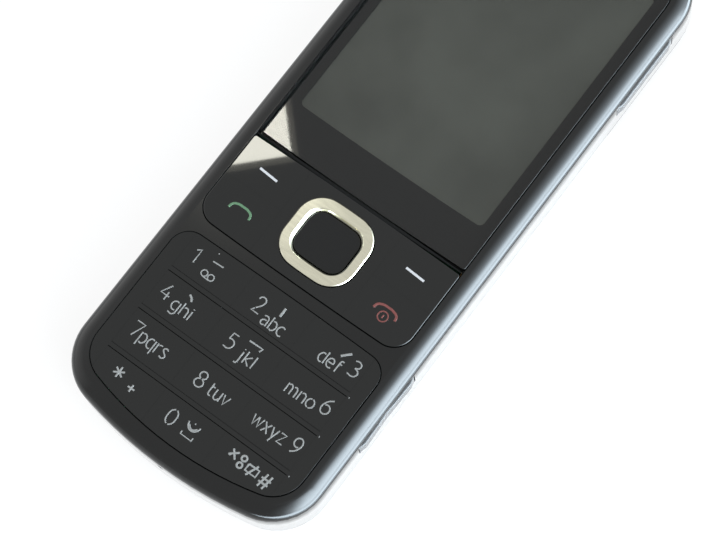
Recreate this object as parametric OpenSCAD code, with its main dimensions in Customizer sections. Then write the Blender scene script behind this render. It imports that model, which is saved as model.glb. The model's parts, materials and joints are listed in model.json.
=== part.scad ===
// Candybar feature phone lying on its back: +X right, +Y towards the earpiece end, +Z out of the display

/* [Body] */
// Width over the flanks, without the side keys
body_w = 44.6; // [42:0.2:50]
// Length over the rounded ends
body_l = 111.4; // [102:0.2:120]
// Height of the front frame's face above the back
face_z = 10.75; // [10.6:0.05:13]
// Radius of the four corners seen from the front
corner_r = 8.9; // [8:0.1:11]
// Radius of the slightly bowed ends
end_r = 75; // [66:1:200]
// Radius that rolls the front face over into the flank
front_round = 2.2; // [1.8:0.1:2.4]
// Radius that rolls the back over into the flank
rear_round = 2.6; // [2.2:0.1:3]
// Wall of the front frame and of the chassis flanks
wall = 1.4; // [1:0.1:1.6]

/* [Front panels] */
// Frame left between the panels and the flank
side_margin = 3.1; // [2.6:0.1:3.6]
// Height by which the panels stand above the frame's face
panel_proud = 0.12; // [0.05:0.01:0.3]
// Thickness of the key panels
panel_t = 1.22; // [1:0.02:1.3]
// Thickness of the display lens
lens_t = 1.1; // [0.8:0.05:1.2]
// Bevel along the panels' outer edges
panel_bevel = 0.16; // [0.05:0.01:0.25]
// Clearance between a panel and the frame around it
panel_gap = 0.1; // [0.06:0.01:0.2]
// Width of the split between the lens and the navigation panel
split_gap = 0.6; // [0.3:0.05:1]
// Length of the navigation panel
nav_l = 15.42; // [15:0.02:17]
// Corner radius at the navigation panel's lower end
nav_corner_r = 3.4; // [2:0.1:5]
// Width of the frame's strip between the two key panels
strip_w = 2.14; // [1.5:0.02:3]
// Corner radius at the number panel's upper end
number_top_r = 3.2; // [2:0.1:5]
// Corner radius of the panels' bowed ends
panel_end_r = 5.4; // [4:0.1:8]
// Radius of the panels' bowed ends
panel_bow_r = 60; // [45:1:120]
// Frame left between the number panel and the bottom end
bottom_margin = 3.15; // [2.8:0.05:4.8]
// Frame left between the lens and the top end
top_margin = 3.4; // [2.8:0.05:4.8]

/* [Display] */
// Dark border between the lens's side and the window in the mask
window_border = 2.1; // [1.9:0.1:4]
// Length of the window in the mask
window_l = 45.3; // [40:0.1:50]
// Corner radius of the window
window_r = 0.9; // [0.4:0.1:2]
// Distance from the split to the window's lower edge
window_rise = 7.4; // [5:0.1:8]
// Distance from the window's upper edge to the lens's upper end
window_head = 6.25; // [6:0.05:8]
// Length of the earpiece slot in the lens
ear_slot_l = 9; // [6:0.1:12]
// Height of the earpiece slot
ear_slot_h = 1.3; // [0.8:0.1:1.6]
// Distance from the lens's upper edge to the earpiece slot
ear_drop = 2.3; // [2:0.1:2.6]

/* [Number keys] */
// Width of the ladder's margins beside the keys
ladder_margin = 2.5; // [2:0.1:4]
// Place of the seams between the key columns, either side of the middle
column_x = 5.6; // [5:0.1:6.4]
// Length by which the first row is shorter than the pitch of the rows
first_row_trim = 0.45; // [0:0.01:1]
// Length by which the last row is shorter than the pitch of the rows
last_row_trim = 0.39; // [0:0.01:1]
// Width of the ladder's bars
bar_w = 0.8; // [0.5:0.05:1.2]
// Seam between neighbouring caps
seam = 0.08; // [0.06:0.01:0.15]
// Travel of every key
key_travel = 0.25; // [0.15:0.01:0.28]

/* [Navigation ring] */
// Width of the ring
ring_w = 12.96; // [12:0.02:14]
// Length of the ring
ring_l = 11.94; // [11:0.02:13]
// Outer corner radius of the ring
ring_r = 4.2; // [3:0.1:5]
// Width of the flat band at the ring's sides
ring_band_x = 1.48; // [1.2:0.02:1.9]
// Width of the flat band at the ring's ends
ring_band_y = 1.645; // [1.2:0.005:1.9]
// Corner radius of the hole
ring_hole_r = 2.7; // [2:0.1:3.4]
// Height by which the ring stands above the panel
ring_proud = 0.33; // [0.1:0.01:0.5]
// Bevel along the ring's outer edge
ring_bevel = 0.26; // [0.1:0.02:0.4]
// Distance from the split to the middle of the ring
ring_drop = 7.9; // [7.4:0.05:8.4]
// Fixed surround left beside the ring
surround_margin = 2.1; // [1.4:0.1:3.4]

/* [Side keys] */
// Height of the side keys on the flank
side_key_h = 2.2; // [1.6:0.1:2.4]
// Distance from the frame's seam down to the side keys
side_key_drop = 0.55; // [0.5:0.05:0.8]
// Height by which the side keys stand proud of the flank
side_key_proud = 0.3; // [0.15:0.05:0.5]
// Length of the volume rocker
rocker_l = 14.3; // [10:0.1:16]
// Distance from the top end to the volume rocker's pivot
rocker_drop = 20.2; // [19:0.1:26]
// Length of the camera key
camera_key_l = 13.4; // [9:0.1:16]
// Distance from the bottom end to the camera key's middle
camera_key_rise = 25.95; // [22:0.05:30]
// Length of the taper at each end of the side keys
side_key_taper = 1.2; // [0.6:0.1:2]
// Clearance round the side keys
side_key_gap = 0.15; // [0.13:0.01:0.25]

/* [Back] */
// Thickness of the rear cover and of the rear top panel
cover_t = 0.6; // [0.4:0.05:0.7]
// Travel of the rear cover towards the bottom end
cover_travel = 5; // [3:0.5:7]
// Gap at the joint of the back and along the flank seams
shell_gap = 0.1; // [0.05:0.01:0.2]
// Distance from the joint of the back up to the camera
camera_rise = 16; // [15:0.1:18]
// Length of the camera window
camera_window_l = 24; // [23:0.5:28]
// Height of the camera window
camera_window_h = 9; // [8.4:0.1:10]

/* [Inside] */
// Height from the main board to the underside of the key panels
key_stack = 1.65; // [1.6:0.05:2]
// Thickness of the main board
board_t = 0.8; // [0.6:0.05:1]
// Width of the battery
battery_w = 33.8; // [30:0.1:34.2]
// Length of the back left above the battery
upper_l = 47.7; // [46.8:0.1:52]
// Thickness of the battery
battery_t = 4.4; // [3.6:0.1:4.6]
// Distance from the bottom end to the battery
battery_rise = 10.2; // [10:0.1:10.8]
// Length of the card trays
tray_l = 15.8; // [15.4:0.1:17]
// Diameter of the board screws
screw_d = 1.4; // [1:0.1:1.6]

/* [Hidden] */
$fn = 48;

// Steps of the curves, and small amounts used by cuts
arc_steps = 8;
bow_steps = 10;
roll_steps = 6;
sliver = 0.01;
past = 1;
flat_bow_r = 900;
sharp_r = 0.3;
least_r = 0.05;
ring_bow_r = 60;

// Clearances: loose round a pocketed piece, snug between seated pieces
loose = 0.2;
snug = 0.1;

// Halves and levels of the body
half_w = body_w / 2;
half_l = body_l / 2;
inner_half = half_w - wall;
panel_half = half_w - side_margin;
panel_top = face_z + panel_proud;
panel_base = panel_top - panel_t;
lens_base = panel_top - lens_t;
frame_seam_z = face_z - front_round;
rear_seam_z = rear_round;

// Edges of the panels along the length
lens_y1 = half_l - top_margin;
split_y = lens_y1 - window_head - window_l - window_rise;
lens_y0 = split_y + split_gap / 2;
nav_y1 = split_y - split_gap / 2;
nav_y0 = nav_y1 - nav_l;
number_y1 = nav_y0 - strip_w;
number_y0 = -half_l + bottom_margin;
row_count = 4;
row_pitch = (number_y1 - number_y0 + first_row_trim + last_row_trim) / row_count;
ring_y = split_y - ring_drop;
window_w = 2 * (panel_half - window_border);
window_y = split_y + window_rise + window_l / 2;
ear_y = lens_y1 - ear_drop;
ladder_half = panel_half - ladder_margin;
surround_half = ring_w / 2 + surround_margin;

// Levels of the stacked insides, from the key panels down and from the back up
mat_t = 0.5;
mat_pad_t = 0.25;
mat_top = panel_base - key_travel - snug;
mat_face = mat_top - mat_pad_t;
board_top = panel_base - key_stack;
board_base = board_top - board_t;
board_gap = 0.8;
board_inset = wall + board_gap;
dome_film_t = 0.1;
dome_h = 0.25;
dome_r = 2;
web_t = 0.6;
bay_floor = cover_t + 2 * loose + battery_t;
web_top = bay_floor + web_t;
block_inset = rear_round - cover_t + snug;
block_base = cover_t + loose;
lens_ledge = 1.2;
lens_ledge_t = 0.4;
cavity_top = lens_base - lens_ledge_t;
lip_drop = 0.5;
lip_t = 0.6;
split_recess = 0.6;
mask_t = 0.06;

// Points of an arc, from angle a0 to a1 in the given number of steps
function arc(centre, r, a0, a1, steps) =
  [for (i = [0 : steps]) centre + r * [cos(a0 + (a1 - a0) * i / steps), sin(a0 + (a1 - a0) * i / steps)]];

// Upper end of a panel: two corner arcs that run tangent into one bowed end with its crown at y
function panel_end(half, y, r, bow) =
  let (
    rise = sqrt((bow - r) * (bow - r) - (half - r) * (half - r)),
    turn = atan2(rise, half - r),
    corner_y = y - bow + rise,
    bow_turn = (180 - 2 * turn) / bow_steps
  )
  concat(
    arc([half - r, corner_y], r, 0, turn, arc_steps),
    arc([0, y - bow], bow, turn + bow_turn, 180 - turn - bow_turn, bow_steps - 2),
    arc([r - half, corner_y], r, 180 - turn, 180, arc_steps)
  );

// Closed outline from y0 to y1, drawn in by d on all sides
function panel_points(half, y0, r0, bow0, y1, r1, bow1, d = 0) =
  concat(
    panel_end(half - d, y1 - d, max(r1 - d, least_r), bow1 - d),
    [for (p = panel_end(half - d, -y0 - d, max(r0 - d, least_r), bow0 - d)) -p]
  );

// Outlines of the pieces seen from the front, each drawn in by d
function body_points(d) = panel_points(half_w, -half_l, corner_r, end_r, half_l, corner_r, end_r, d);
function lens_points(d) =
  panel_points(panel_half, lens_y0, sharp_r, flat_bow_r, lens_y1, panel_end_r, panel_bow_r, d);
function nav_points(d) =
  panel_points(panel_half, nav_y0, nav_corner_r, flat_bow_r, nav_y1, sharp_r, flat_bow_r, d);
function number_points(d) =
  panel_points(panel_half, number_y0, panel_end_r, panel_bow_r, number_y1, number_top_r, flat_bow_r, d);
function ring_points(d) = oval_points(ring_w, ring_l, ring_r, d);
function hole_points(d) = oval_points(ring_w - 2 * ring_band_x, ring_l - 2 * ring_band_y, ring_hole_r, d);
function oval_points(w, l, r, d) =
  [for (p = panel_points(w / 2, -l / 2, r, ring_bow_r, l / 2, r, ring_bow_r, d)) p + [0, ring_y]];

// A prism of an outline between two levels
module prism(points, z0, z1) {
  translate([0, 0, z0]) linear_extrude(z1 - z0) polygon(points);
}

// A thin slice of an outline, with its upper face at z
module slice(points, z) {
  prism(points, z - sliver, z);
}

// A box given by its lowest and highest corners
module block(low, high) {
  translate(low) cube(high - low);
}

// A box centred on a place, between two levels
module slab(x, y, w, l, z0, z1) {
  block([x - w / 2, y - l / 2, z0], [x + w / 2, y + l / 2, z1]);
}

// A slab with half-round ends, lying along X
module stadium(x, y, w, l, z0, z1) {
  slab(x, y, w - l, l, z0, z1);
  for (side = [-1, 1]) translate([x + side * (w - l) / 2, y, z0]) cylinder(h = z1 - z0, d = l);
}

// A slab with four round corners
module tablet(x, y, w, l, r, z0, z1) {
  slab(x, y, w - 2 * r, l, z0, z1);
  slab(x, y, w, l - 2 * r, z0, z1);
  for (sx = [-1, 1], sy = [-1, 1])
    translate([x + sx * (w / 2 - r), y + sy * (l / 2 - r), z0]) cylinder(h = z1 - z0, r = r);
}

// A flat panel with a bevel round its upper edge, from its full outline and the drawn-in one
module bevelled(full, drawn_in, z0, z1, bevel) {
  hull() {
    prism(full, z0, z1 - bevel);
    slice(drawn_in, z1);
  }
}

// Front bezel's outer form: the flank rolls over into the flat face
module front_form() {
  hull() {
    slice(body_points(0), frame_seam_z + sliver);
    for (i = [1 : roll_steps])
      slice(body_points(front_round * (1 - cos(90 * i / roll_steps))),
            frame_seam_z + front_round * sin(90 * i / roll_steps));
  }
}

// Back's outer form, drawn in by d: the flank rolls under into the flat back
module rear_form(d) {
  roll = rear_round - d;
  hull() {
    slice(body_points(d), rear_seam_z + (d > 0 ? past : 0));
    for (i = [1 : roll_steps])
      slice(body_points(d + roll * (1 - cos(90 * i / roll_steps))),
            rear_seam_z - roll * sin(90 * i / roll_steps) + sliver);
  }
}

// Bezel with openings for the panels, a ledge under the lens and a lip that seats in the chassis
module front_frame() {
  color([0.16, 0.17, 0.18]) difference() {
    union() {
      front_form();
      prism(body_points(wall + snug), frame_seam_z - lip_drop, frame_seam_z + sliver);
    }
    prism(body_points(wall + snug + lip_t), frame_seam_z - lip_drop - past, cavity_top);
    prism(lens_points(-panel_gap), lens_base - mask_t, face_z + past);
    prism(lens_points(lens_ledge), cavity_top - past, lens_base + sliver);
    prism(nav_points(-panel_gap), cavity_top - past, face_z + past);
    prism(number_points(-panel_gap), cavity_top - past, face_z + past);
    block([-panel_half, nav_y1, face_z - split_recess], [panel_half, lens_y0, face_z + past]);
  }
}

// Board screws, their bosses and their heads
screw_side = 5.3;
screw_end = 6.5;
screw_x = half_w - screw_side;
screw_y = half_l - screw_end;
screw_head_rim = 0.5;
screw_head_d = screw_d + 2 * screw_head_rim;
screw_head_t = 0.4;
screw_l = 3;
boss_wall = 1;
boss_d = screw_d + 2 * boss_wall;

module at_screws() {
  for (sx = [-1, 1], sy = [-1, 1]) translate([sx * screw_x, sy * screw_y, 0]) children();
}

// Side keys: levels, and the flange behind the flank's wall
side_key_z = frame_seam_z - side_key_drop - side_key_h / 2;
side_flange_t = 0.5;
side_flange_lip = 0.6;
side_flange_drop = 1;
side_flange_x = inner_half - side_flange_drop;
side_flange_base = web_top + snug;
pivot_d = 0.8;
pivot_depth = 0.5;
pivot_gap = 0.05;
pivot_base = side_key_z - side_key_h / 2 - side_key_gap - pivot_depth;
rocker_y = half_l - rocker_drop;
camera_key_y = -half_l + camera_key_rise;
switch_gap = 0.4;
switch_t = 0.45;
switch_l = 3;
switch_h = 1.6;
switch_inset = 2;
strip_t = 0.2;
strip_h = 0.5;
switch_x = side_flange_x - side_flange_t / 2 - switch_gap;
strip_x = switch_x - switch_t;

module side_opening(y, l) {
  slab(half_w, y, 4 * wall, l + 2 * side_key_gap, side_key_z - side_key_h / 2 - side_key_gap,
       side_key_z + side_key_h / 2 + side_key_gap);
}

// Sockets in the top end, and the microphone at the bottom end
socket_inset = 1.1;
socket_wall = 0.3;
socket_y = half_l - socket_inset;
usb_x = 7;
usb_w = 7.6;
usb_h = 2.7;
usb_depth = 5.2;
jack_x = -7;
jack_d = 3.2;
jack_bore_d = 2;
jack_depth = 5.4;
jack_floor = 0.8;
socket_z = web_top - jack_d / 2 - loose;
mic_w = 3;
mic_l = 2.6;
mic_t = 1;
mic_rise = 3;
mic_y = -half_l + board_inset + mic_rise;
mic_hole_d = 1;

// Battery bay and card trays
battery_l = body_l - battery_rise - upper_l;
battery_y = -half_l + battery_rise + battery_l / 2;
battery_end_gap = 0.6;
battery_r = 1.2;
bay_wall = 0.6;
tray_y = battery_y + battery_l / 2 + battery_end_gap + bay_wall + tray_l / 2;
tray_gap = 0.5;
tray_wall = 0.4;
sim_w = 25;
sim_l = 15;
sim_t = 0.76;
sim_corner = 3;
memory_w = 11;
trays_w = sim_w + memory_w + 4 * tray_gap + tray_wall;
sim_x = -trays_w / 2 + tray_gap + sim_w / 2;
memory_x = trays_w / 2 - tray_gap - memory_w / 2;
memory_l = 15;
memory_t = 1;
memory_corner = 1.5;
holder_t = 0.3;
holder_lip = 2.5;
holder_l = 9.8;

// Upper back, measured from the joint between the rear cover and the rear top panel
cover_overlap = 1;
cover_end_y = tray_y + tray_l / 2 + cover_overlap;
camera_y = cover_end_y + camera_rise;
camera_body = 8.4;
barrel_d = 6.4;
barrel_t = 0.7;
camera_gap = 0.3;
camera_base = cover_t + camera_gap;
flash_x = 8;
flash_d = 3.4;
speaker_x = -10;
speaker_rise = 5.6;
speaker_y = cover_end_y + speaker_rise;
speaker_w = 13;
speaker_l = 8;
slot_count = 4;
slot_pitch = 1.6;
slot_w = 0.8;
slot_l = 8;
motor_x = 11;
motor_y = speaker_y;
motor_d = 4;
motor_l = 7;
motor_z = bay_floor - motor_d / 2;
shaft_d = 0.8;
weight_l = 2.6;
weight_gap = 0.3;
weight_d = motor_d - 2 * loose;
weight_hub_d = 1.8;
motor_low_x = motor_x - motor_l / 2;
weight_x = motor_low_x - weight_gap;
weight_low_x = weight_x - weight_l;

// Rear cover's hooks and their grooves in the chassis
hook_l = 6;
hook_t = 0.5;
hook_depth = 0.6;
hook_shares = [-0.285, 0.425];
hook_places = [for (share = hook_shares) battery_y + share * battery_l];
hook_drop = 1;
hook_z = rear_seam_z - hook_drop;

module at_hooks() {
  for (side = [-1, 1], y = hook_places) translate([side * (half_w - block_inset), y, 0]) children();
}

module bay(x, y, w, l) {
  slab(x, y, w, l, block_base - past, bay_floor);
}

// Mid body: flanks and ends, the web that carries the board, and pockets in the back for what lies behind it
module chassis() {
  color([0.46, 0.48, 0.5]) difference() {
    union() {
      prism(body_points(0), rear_seam_z, frame_seam_z);
      prism(body_points(block_inset), block_base, rear_seam_z + sliver);
    }
    difference() {
      prism(body_points(wall), web_top, frame_seam_z + past);
      at_screws() translate([0, 0, web_top - past]) cylinder(h = board_base - web_top + past, d = boss_d);
    }
    at_screws() translate([0, 0, board_top - screw_l - loose]) cylinder(h = face_z, d = screw_d + snug);
    bay(0, battery_y, battery_w + 2 * loose, battery_l + 2 * battery_end_gap);
    bay(sim_x, tray_y, sim_w + 2 * tray_gap, tray_l);
    bay(memory_x, tray_y, memory_w + 2 * tray_gap, tray_l);
    bay(speaker_x, speaker_y, speaker_w + 2 * loose, speaker_l + 2 * loose);
    block([weight_low_x - 2 * loose, motor_y - motor_d / 2 - loose, block_base - past],
          [motor_x + motor_l / 2 + loose, motor_y + motor_d / 2 + loose, bay_floor]);
    slab(0, camera_y, camera_body + 2 * loose, camera_body + 2 * loose, block_base - past, web_top + past);
    slab(flash_x, camera_y, flash_d + 2 * loose, flash_d + 2 * loose, block_base - past, web_top + past);
    side_opening(rocker_y, rocker_l);
    translate([side_flange_x, rocker_y, pivot_base - snug])
      cylinder(h = 2 * pivot_depth, d = pivot_d + 2 * pivot_gap);
    side_opening(camera_key_y, camera_key_l);
    slab(usb_x, half_l, usb_w + 2 * snug, 2 * (socket_inset + usb_depth), socket_z - usb_h / 2 - snug,
         socket_z + usb_h / 2 + snug);
    translate([jack_x, socket_y - jack_depth, socket_z]) rotate([-90, 0, 0])
      cylinder(h = jack_depth + past, d = jack_d + 2 * snug);
    translate([0, -half_l + 2 * wall, web_top + mic_hole_d]) rotate([90, 0, 0])
      cylinder(h = 2 * wall + past, d = mic_hole_d);
    at_hooks() translate([0, cover_travel / -2, 0])
      slab(0, 0, 2 * (hook_depth + loose), hook_l + cover_travel + 4 * loose, hook_z - snug,
           hook_z + hook_t + snug);
  }
}

// Outer skin of the back
module rear_shell() {
  difference() {
    rear_form(0);
    rear_form(cover_t);
  }
}

// Battery cover that wraps the sides and the bottom end, with hooks that run in the chassis's grooves
module rear_cover() {
  hook_reach = block_inset - cover_t / 2;
  color([0.2, 0.21, 0.22]) {
    intersection() {
      rear_shell();
      block([-body_w, -body_l, -past], [body_w, cover_end_y - shell_gap / 2, rear_seam_z - shell_gap]);
    }
    for (side = [-1, 1], y = hook_places)
      slab(side * (half_w - block_inset + (hook_reach - hook_depth) / 2), y, hook_reach + hook_depth, hook_l,
           hook_z, hook_z + hook_t);
  }
}

module rear_top_panel() {
  color([0.06, 0.06, 0.07]) difference() {
    intersection() {
      rear_shell();
      block([-body_w, cover_end_y + shell_gap / 2, -past], [body_w, body_l, rear_seam_z]);
    }
    stadium(0, camera_y, camera_window_l + 2 * panel_gap, camera_window_h + 2 * panel_gap, -past,
            cover_t + past);
    for (i = [0 : slot_count - 1])
      stadium(speaker_x, speaker_y + (i - (slot_count - 1) / 2) * slot_pitch, slot_l, slot_w, -past,
              cover_t + past);
  }
}

module display_lens() {
  color([0.3, 0.32, 0.3, 0.4]) difference() {
    bevelled(lens_points(0), lens_points(panel_bevel), lens_base, panel_top, panel_bevel);
    stadium(0, ear_y, ear_slot_l, ear_slot_h, lens_base - past, panel_top + past);
  }
}

// Dark print on the lens's underside, which seats on the frame's ledge
module display_mask() {
  color([0.05, 0.05, 0.05]) difference() {
    prism(lens_points(snug), lens_base - mask_t, lens_base);
    tablet(0, window_y, window_w, window_l, window_r, lens_base - past, lens_base + past);
    stadium(0, ear_y, ear_slot_l, ear_slot_h, lens_base - past, lens_base + past);
  }
}

grille_t = 0.5;
grille_gap = 0.05;
grille_holes = 9;
grille_hole_d = 0.5;

module earpiece_grille() {
  color([0.35, 0.36, 0.37]) difference() {
    stadium(0, ear_y, ear_slot_l - 2 * grille_gap, ear_slot_h - 2 * grille_gap, lens_base,
            lens_base + grille_t);
    for (i = [0 : grille_holes - 1])
      translate([(i - (grille_holes - 1) / 2) * ear_slot_l / (grille_holes + 1), ear_y, lens_base - past])
        cylinder(h = grille_t + 2 * past, d = grille_hole_d, $fn = 16);
  }
}

module nav_form() {
  bevelled(nav_points(0), nav_points(panel_bevel), panel_base, panel_top, panel_bevel);
}

// Fixed middle of the navigation panel, with the ring's opening
module nav_surround() {
  color([0.2, 0.21, 0.21]) difference() {
    intersection() {
      nav_form();
      slab(0, 0, 2 * surround_half - seam, body_l, 0, panel_top + past);
    }
    prism(ring_points(-snug), panel_base - past, panel_top + past);
  }
}

// One corner key of the navigation panel: side is -1 for left, and end is -1 for lower
module nav_key(side, end) {
  color([0.2, 0.21, 0.21]) intersection() {
    nav_form();
    slab(side * (surround_half + seam / 2 + body_w / 2), ring_y + end * (seam / 2 + nav_l / 2), body_w, nav_l,
         0, panel_top + past);
  }
}

module left_soft_key() {
  nav_key(-1, 1);
}

module right_soft_key() {
  nav_key(1, 1);
}

module call_key() {
  nav_key(-1, -1);
}

module end_key() {
  nav_key(1, -1);
}

// Ring with a bevelled rim and a hole that narrows downwards
ring_top = panel_top + ring_proud;
ring_lift = 0.25;
ring_base = panel_base + ring_lift;
ring_taper = 0.4;

module nav_ring() {
  color([0.8, 0.79, 0.74]) difference() {
    bevelled(ring_points(0), ring_points(ring_bevel), ring_base, ring_top, ring_bevel);
    prism(hole_points(ring_taper), ring_base - past, ring_top);
    hull() {
      slice(hole_points(ring_taper), panel_top - ring_taper);
      slice(hole_points(0), ring_top + sliver);
    }
  }
}

// Rubber web under the ring, on which it tilts both ways
gimbal_t = 0.35;
gimbal_inset = 0.3;

module ring_gimbal() {
  color([0.12, 0.12, 0.12]) difference() {
    prism(ring_points(gimbal_inset), panel_base - gimbal_t, panel_base);
    prism(hole_points(ring_taper), panel_base - gimbal_t - past, panel_base + past);
  }
}

centre_bevel = 0.3;

module centre_key() {
  inset = ring_taper + loose;
  color([0.13, 0.15, 0.15])
    bevelled(hole_points(inset), hole_points(inset + centre_bevel), panel_base + snug, panel_top, centre_bevel);
}

// Cells of the number panel: rows from the top down, columns from the left
function bar_y(i) = number_y1 + first_row_trim - (i + 1) * row_pitch;
function row_high(row) = row == 0 ? half_l : bar_y(row - 1) - bar_w / 2;
function row_low(row) = row == row_count - 1 ? -half_l : bar_y(row) + bar_w / 2;
column_edges = [-ladder_half, -column_x, column_x, ladder_half];

module number_form() {
  bevelled(number_points(0), number_points(panel_bevel), panel_base, panel_top, panel_bevel);
}

module number_key(column, row) {
  color([0.17, 0.18, 0.18]) intersection() {
    number_form();
    block([column_edges[column] + seam / 2, row_low(row) + seam / 2, 0],
          [column_edges[column + 1] - seam / 2, row_high(row) - seam / 2, panel_top + past]);
  }
}

// Two margins joined by three bars, left when the rows of caps are taken out of the panel
module keypad_ladder() {
  color([0.17, 0.18, 0.18]) difference() {
    number_form();
    for (row = [0 : row_count - 1])
      block([-ladder_half - seam / 2, row_low(row) - seam / 2, 0],
            [ladder_half + seam / 2, row_high(row) + seam / 2, panel_top + past]);
  }
}

module key_1() {
  number_key(0, 0);
}

module key_2() {
  number_key(1, 0);
}

module key_3() {
  number_key(2, 0);
}

module key_4() {
  number_key(0, 1);
}

module key_5() {
  number_key(1, 1);
}

module key_6() {
  number_key(2, 1);
}

module key_7() {
  number_key(0, 2);
}

module key_8() {
  number_key(1, 2);
}

module key_9() {
  number_key(2, 2);
}

module key_star() {
  number_key(0, 3);
}

module key_0() {
  number_key(1, 3);
}

module key_hash() {
  number_key(2, 3);
}

// Places where the keys press their domes
function row_middle(row) = (min(row_high(row), number_y1) + max(row_low(row), number_y0)) / 2;
outer_column_x = (ladder_half + column_x) / 2;
number_places =
  [for (row = [0 : row_count - 1], column = [-1 : 1]) [column * outer_column_x, row_middle(row)]];
nav_places = concat(
  [for (side = [-1, 1], end = [-1, 1]) [side * (panel_half + surround_half) / 2, ring_y + end * nav_l / 4]],
  [[0, ring_y]]
);

// Silicone mat: plungers above the domes, pads under the caps and rails under the fixed panels
plunger_r = 1.1;
pad_r = 1.6;
mat_inset = 0.3;
rail_w = 0.8;
rail_inset = 0.9;
mat_low = board_top + dome_film_t + dome_h + snug / 2;

module key_mat() {
  color([0.55, 0.56, 0.56]) {
    prism(nav_points(mat_inset), mat_face - mat_t, mat_face);
    prism(number_points(mat_inset), mat_face - mat_t, mat_face);
    slab(0, (nav_y0 + number_y1) / 2, 2 * ladder_half, strip_w + past, mat_face - mat_t, mat_face);
    for (p = concat(number_places, nav_places))
      translate([p[0], p[1], mat_low]) cylinder(h = mat_face - mat_low, r = plunger_r);
    for (p = number_places)
      translate([p[0], p[1], mat_face - mat_t]) cylinder(h = mat_t + mat_pad_t, r = pad_r);
    for (side = [-1, 1])
      slab(side * (ladder_half + panel_half) / 2, bar_y(1), rail_w, 2 * row_pitch, mat_face - mat_t,
           panel_base);
    for (end = [-1, 1])
      slab(0, ring_y + end * (nav_l / 2 - rail_inset), surround_half, rail_w, mat_face - mat_t, panel_base);
  }
}

// Metal snap domes on a thin film
film_inset = 0.8;

module dome_sheet() {
  dome_sphere = (dome_r * dome_r + dome_h * dome_h) / (2 * dome_h);
  film_top = board_top + dome_film_t;
  color([0.75, 0.75, 0.72]) {
    difference() {
      union() {
        prism(nav_points(film_inset), board_top, film_top);
        prism(number_points(film_inset), board_top, film_top);
        slab(0, (nav_y0 + number_y1) / 2, 2 * column_x, strip_w + 2 * past, board_top, film_top);
      }
      at_screws() translate([0, 0, board_top - past]) cylinder(h = 2 * past, d = screw_head_d + 2 * loose);
    }
    for (p = concat(number_places, nav_places)) translate([p[0], p[1], film_top]) intersection() {
      translate([0, 0, dome_h - dome_sphere]) sphere(r = dome_sphere, $fn = 96);
      translate([0, 0, -dome_film_t / 2]) cylinder(h = 2 * dome_h, r = dome_r);
    }
  }
}

// A side key: a cap with tapered ends in the flank's opening and a longer flange behind the wall
module side_key(y, l) {
  low = side_key_z - side_key_h / 2;
  high = side_key_z + side_key_h / 2;
  crown_x = half_w + side_key_proud;
  crown_y = l / 2 - side_key_taper;
  translate([0, y, low]) linear_extrude(side_key_h)
    polygon([
      [side_flange_x, -l / 2], [half_w, -l / 2], [crown_x, -crown_y],
      [crown_x, crown_y], [half_w, l / 2], [side_flange_x, l / 2]
    ]);
  slab(side_flange_x, y, side_flange_t, l + 2 * side_flange_lip, side_flange_base, high);
}

// Rocker on a round pivot pin that stands in the chassis's web
module volume_rocker() {
  pin_top = side_key_z + side_key_h / 2;
  color([0.62, 0.64, 0.66]) {
    side_key(rocker_y, rocker_l);
    translate([side_flange_x, rocker_y, pivot_base]) cylinder(h = pin_top - pivot_base, d = pivot_d);
  }
}

notch_w = 0.5;
notch_depth = 0.2;

module camera_key() {
  color([0.62, 0.64, 0.66]) difference() {
    side_key(camera_key_y, camera_key_l);
    slab(half_w + side_key_proud, camera_key_y, 2 * notch_depth, notch_w, 0, face_z);
  }
}

// Flexible strip along the flank with a switch behind each end of the rocker and behind the camera key
module side_switch_strip() {
  places = [rocker_y - rocker_l / 2 + switch_inset, rocker_y + rocker_l / 2 - switch_inset, camera_key_y];
  strip_low = camera_key_y - camera_key_l / 2;
  strip_high = rocker_y + rocker_l / 2;
  color([0.75, 0.5, 0.2]) {
    block([strip_x - strip_t, strip_low, board_top], [strip_x, strip_high, board_top + strip_h]);
    for (y = places) {
      block([strip_x - strip_t, y - switch_l, side_key_z - switch_h / 2],
            [strip_x, y + switch_l, board_top + strip_h]);
      block([strip_x - strip_t, y - switch_l / 2, side_key_z - switch_h / 2],
            [switch_x, y + switch_l / 2, side_key_z + switch_h / 2]);
    }
  }
}

module main_board() {
  color([0.1, 0.35, 0.2]) difference() {
    prism(body_points(board_inset), board_base, board_top);
    block([strip_x - strip_t - loose, camera_key_y - camera_key_l / 2 - switch_l, board_base - past],
          [half_w, rocker_y + rocker_l / 2 + switch_l, board_top + past]);
    at_screws() translate([0, 0, board_base - past]) cylinder(h = board_t + 2 * past, d = screw_d + 2 * snug);
  }
}

module board_screws() {
  color([0.6, 0.6, 0.6]) at_screws() {
    translate([0, 0, board_top]) cylinder(h = screw_head_t, d = screw_head_d);
    translate([0, 0, board_top - screw_l]) cylinder(h = screw_l + screw_head_t / 2, d = screw_d);
  }
}

// Shield cans on the board's underside, each as its place from the split and its size
can_r = 1;
can_places = [[-8, 18.5, 18, 22], [9, -9.5, 16, 24], [-8, -13.5, 14, 26]];

module shield_cans() {
  color([0.7, 0.71, 0.72]) for (c = can_places)
    tablet(c[0], split_y + c[1], c[2], c[3], can_r, web_top + snug, board_base);
}

// Display stack between the board and the mask
holder_floor_t = 0.15;
holder_wall = 0.25;
holder_rim = 4;
display_border = 0.5;
display_low = 3.4;
display_high = 0.6;
display_top = lens_base - mask_t - snug;
display_w = window_w + 2 * display_border;
display_l = window_l + display_low + display_high;
display_y = window_y + (display_high - display_low) / 2;

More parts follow.
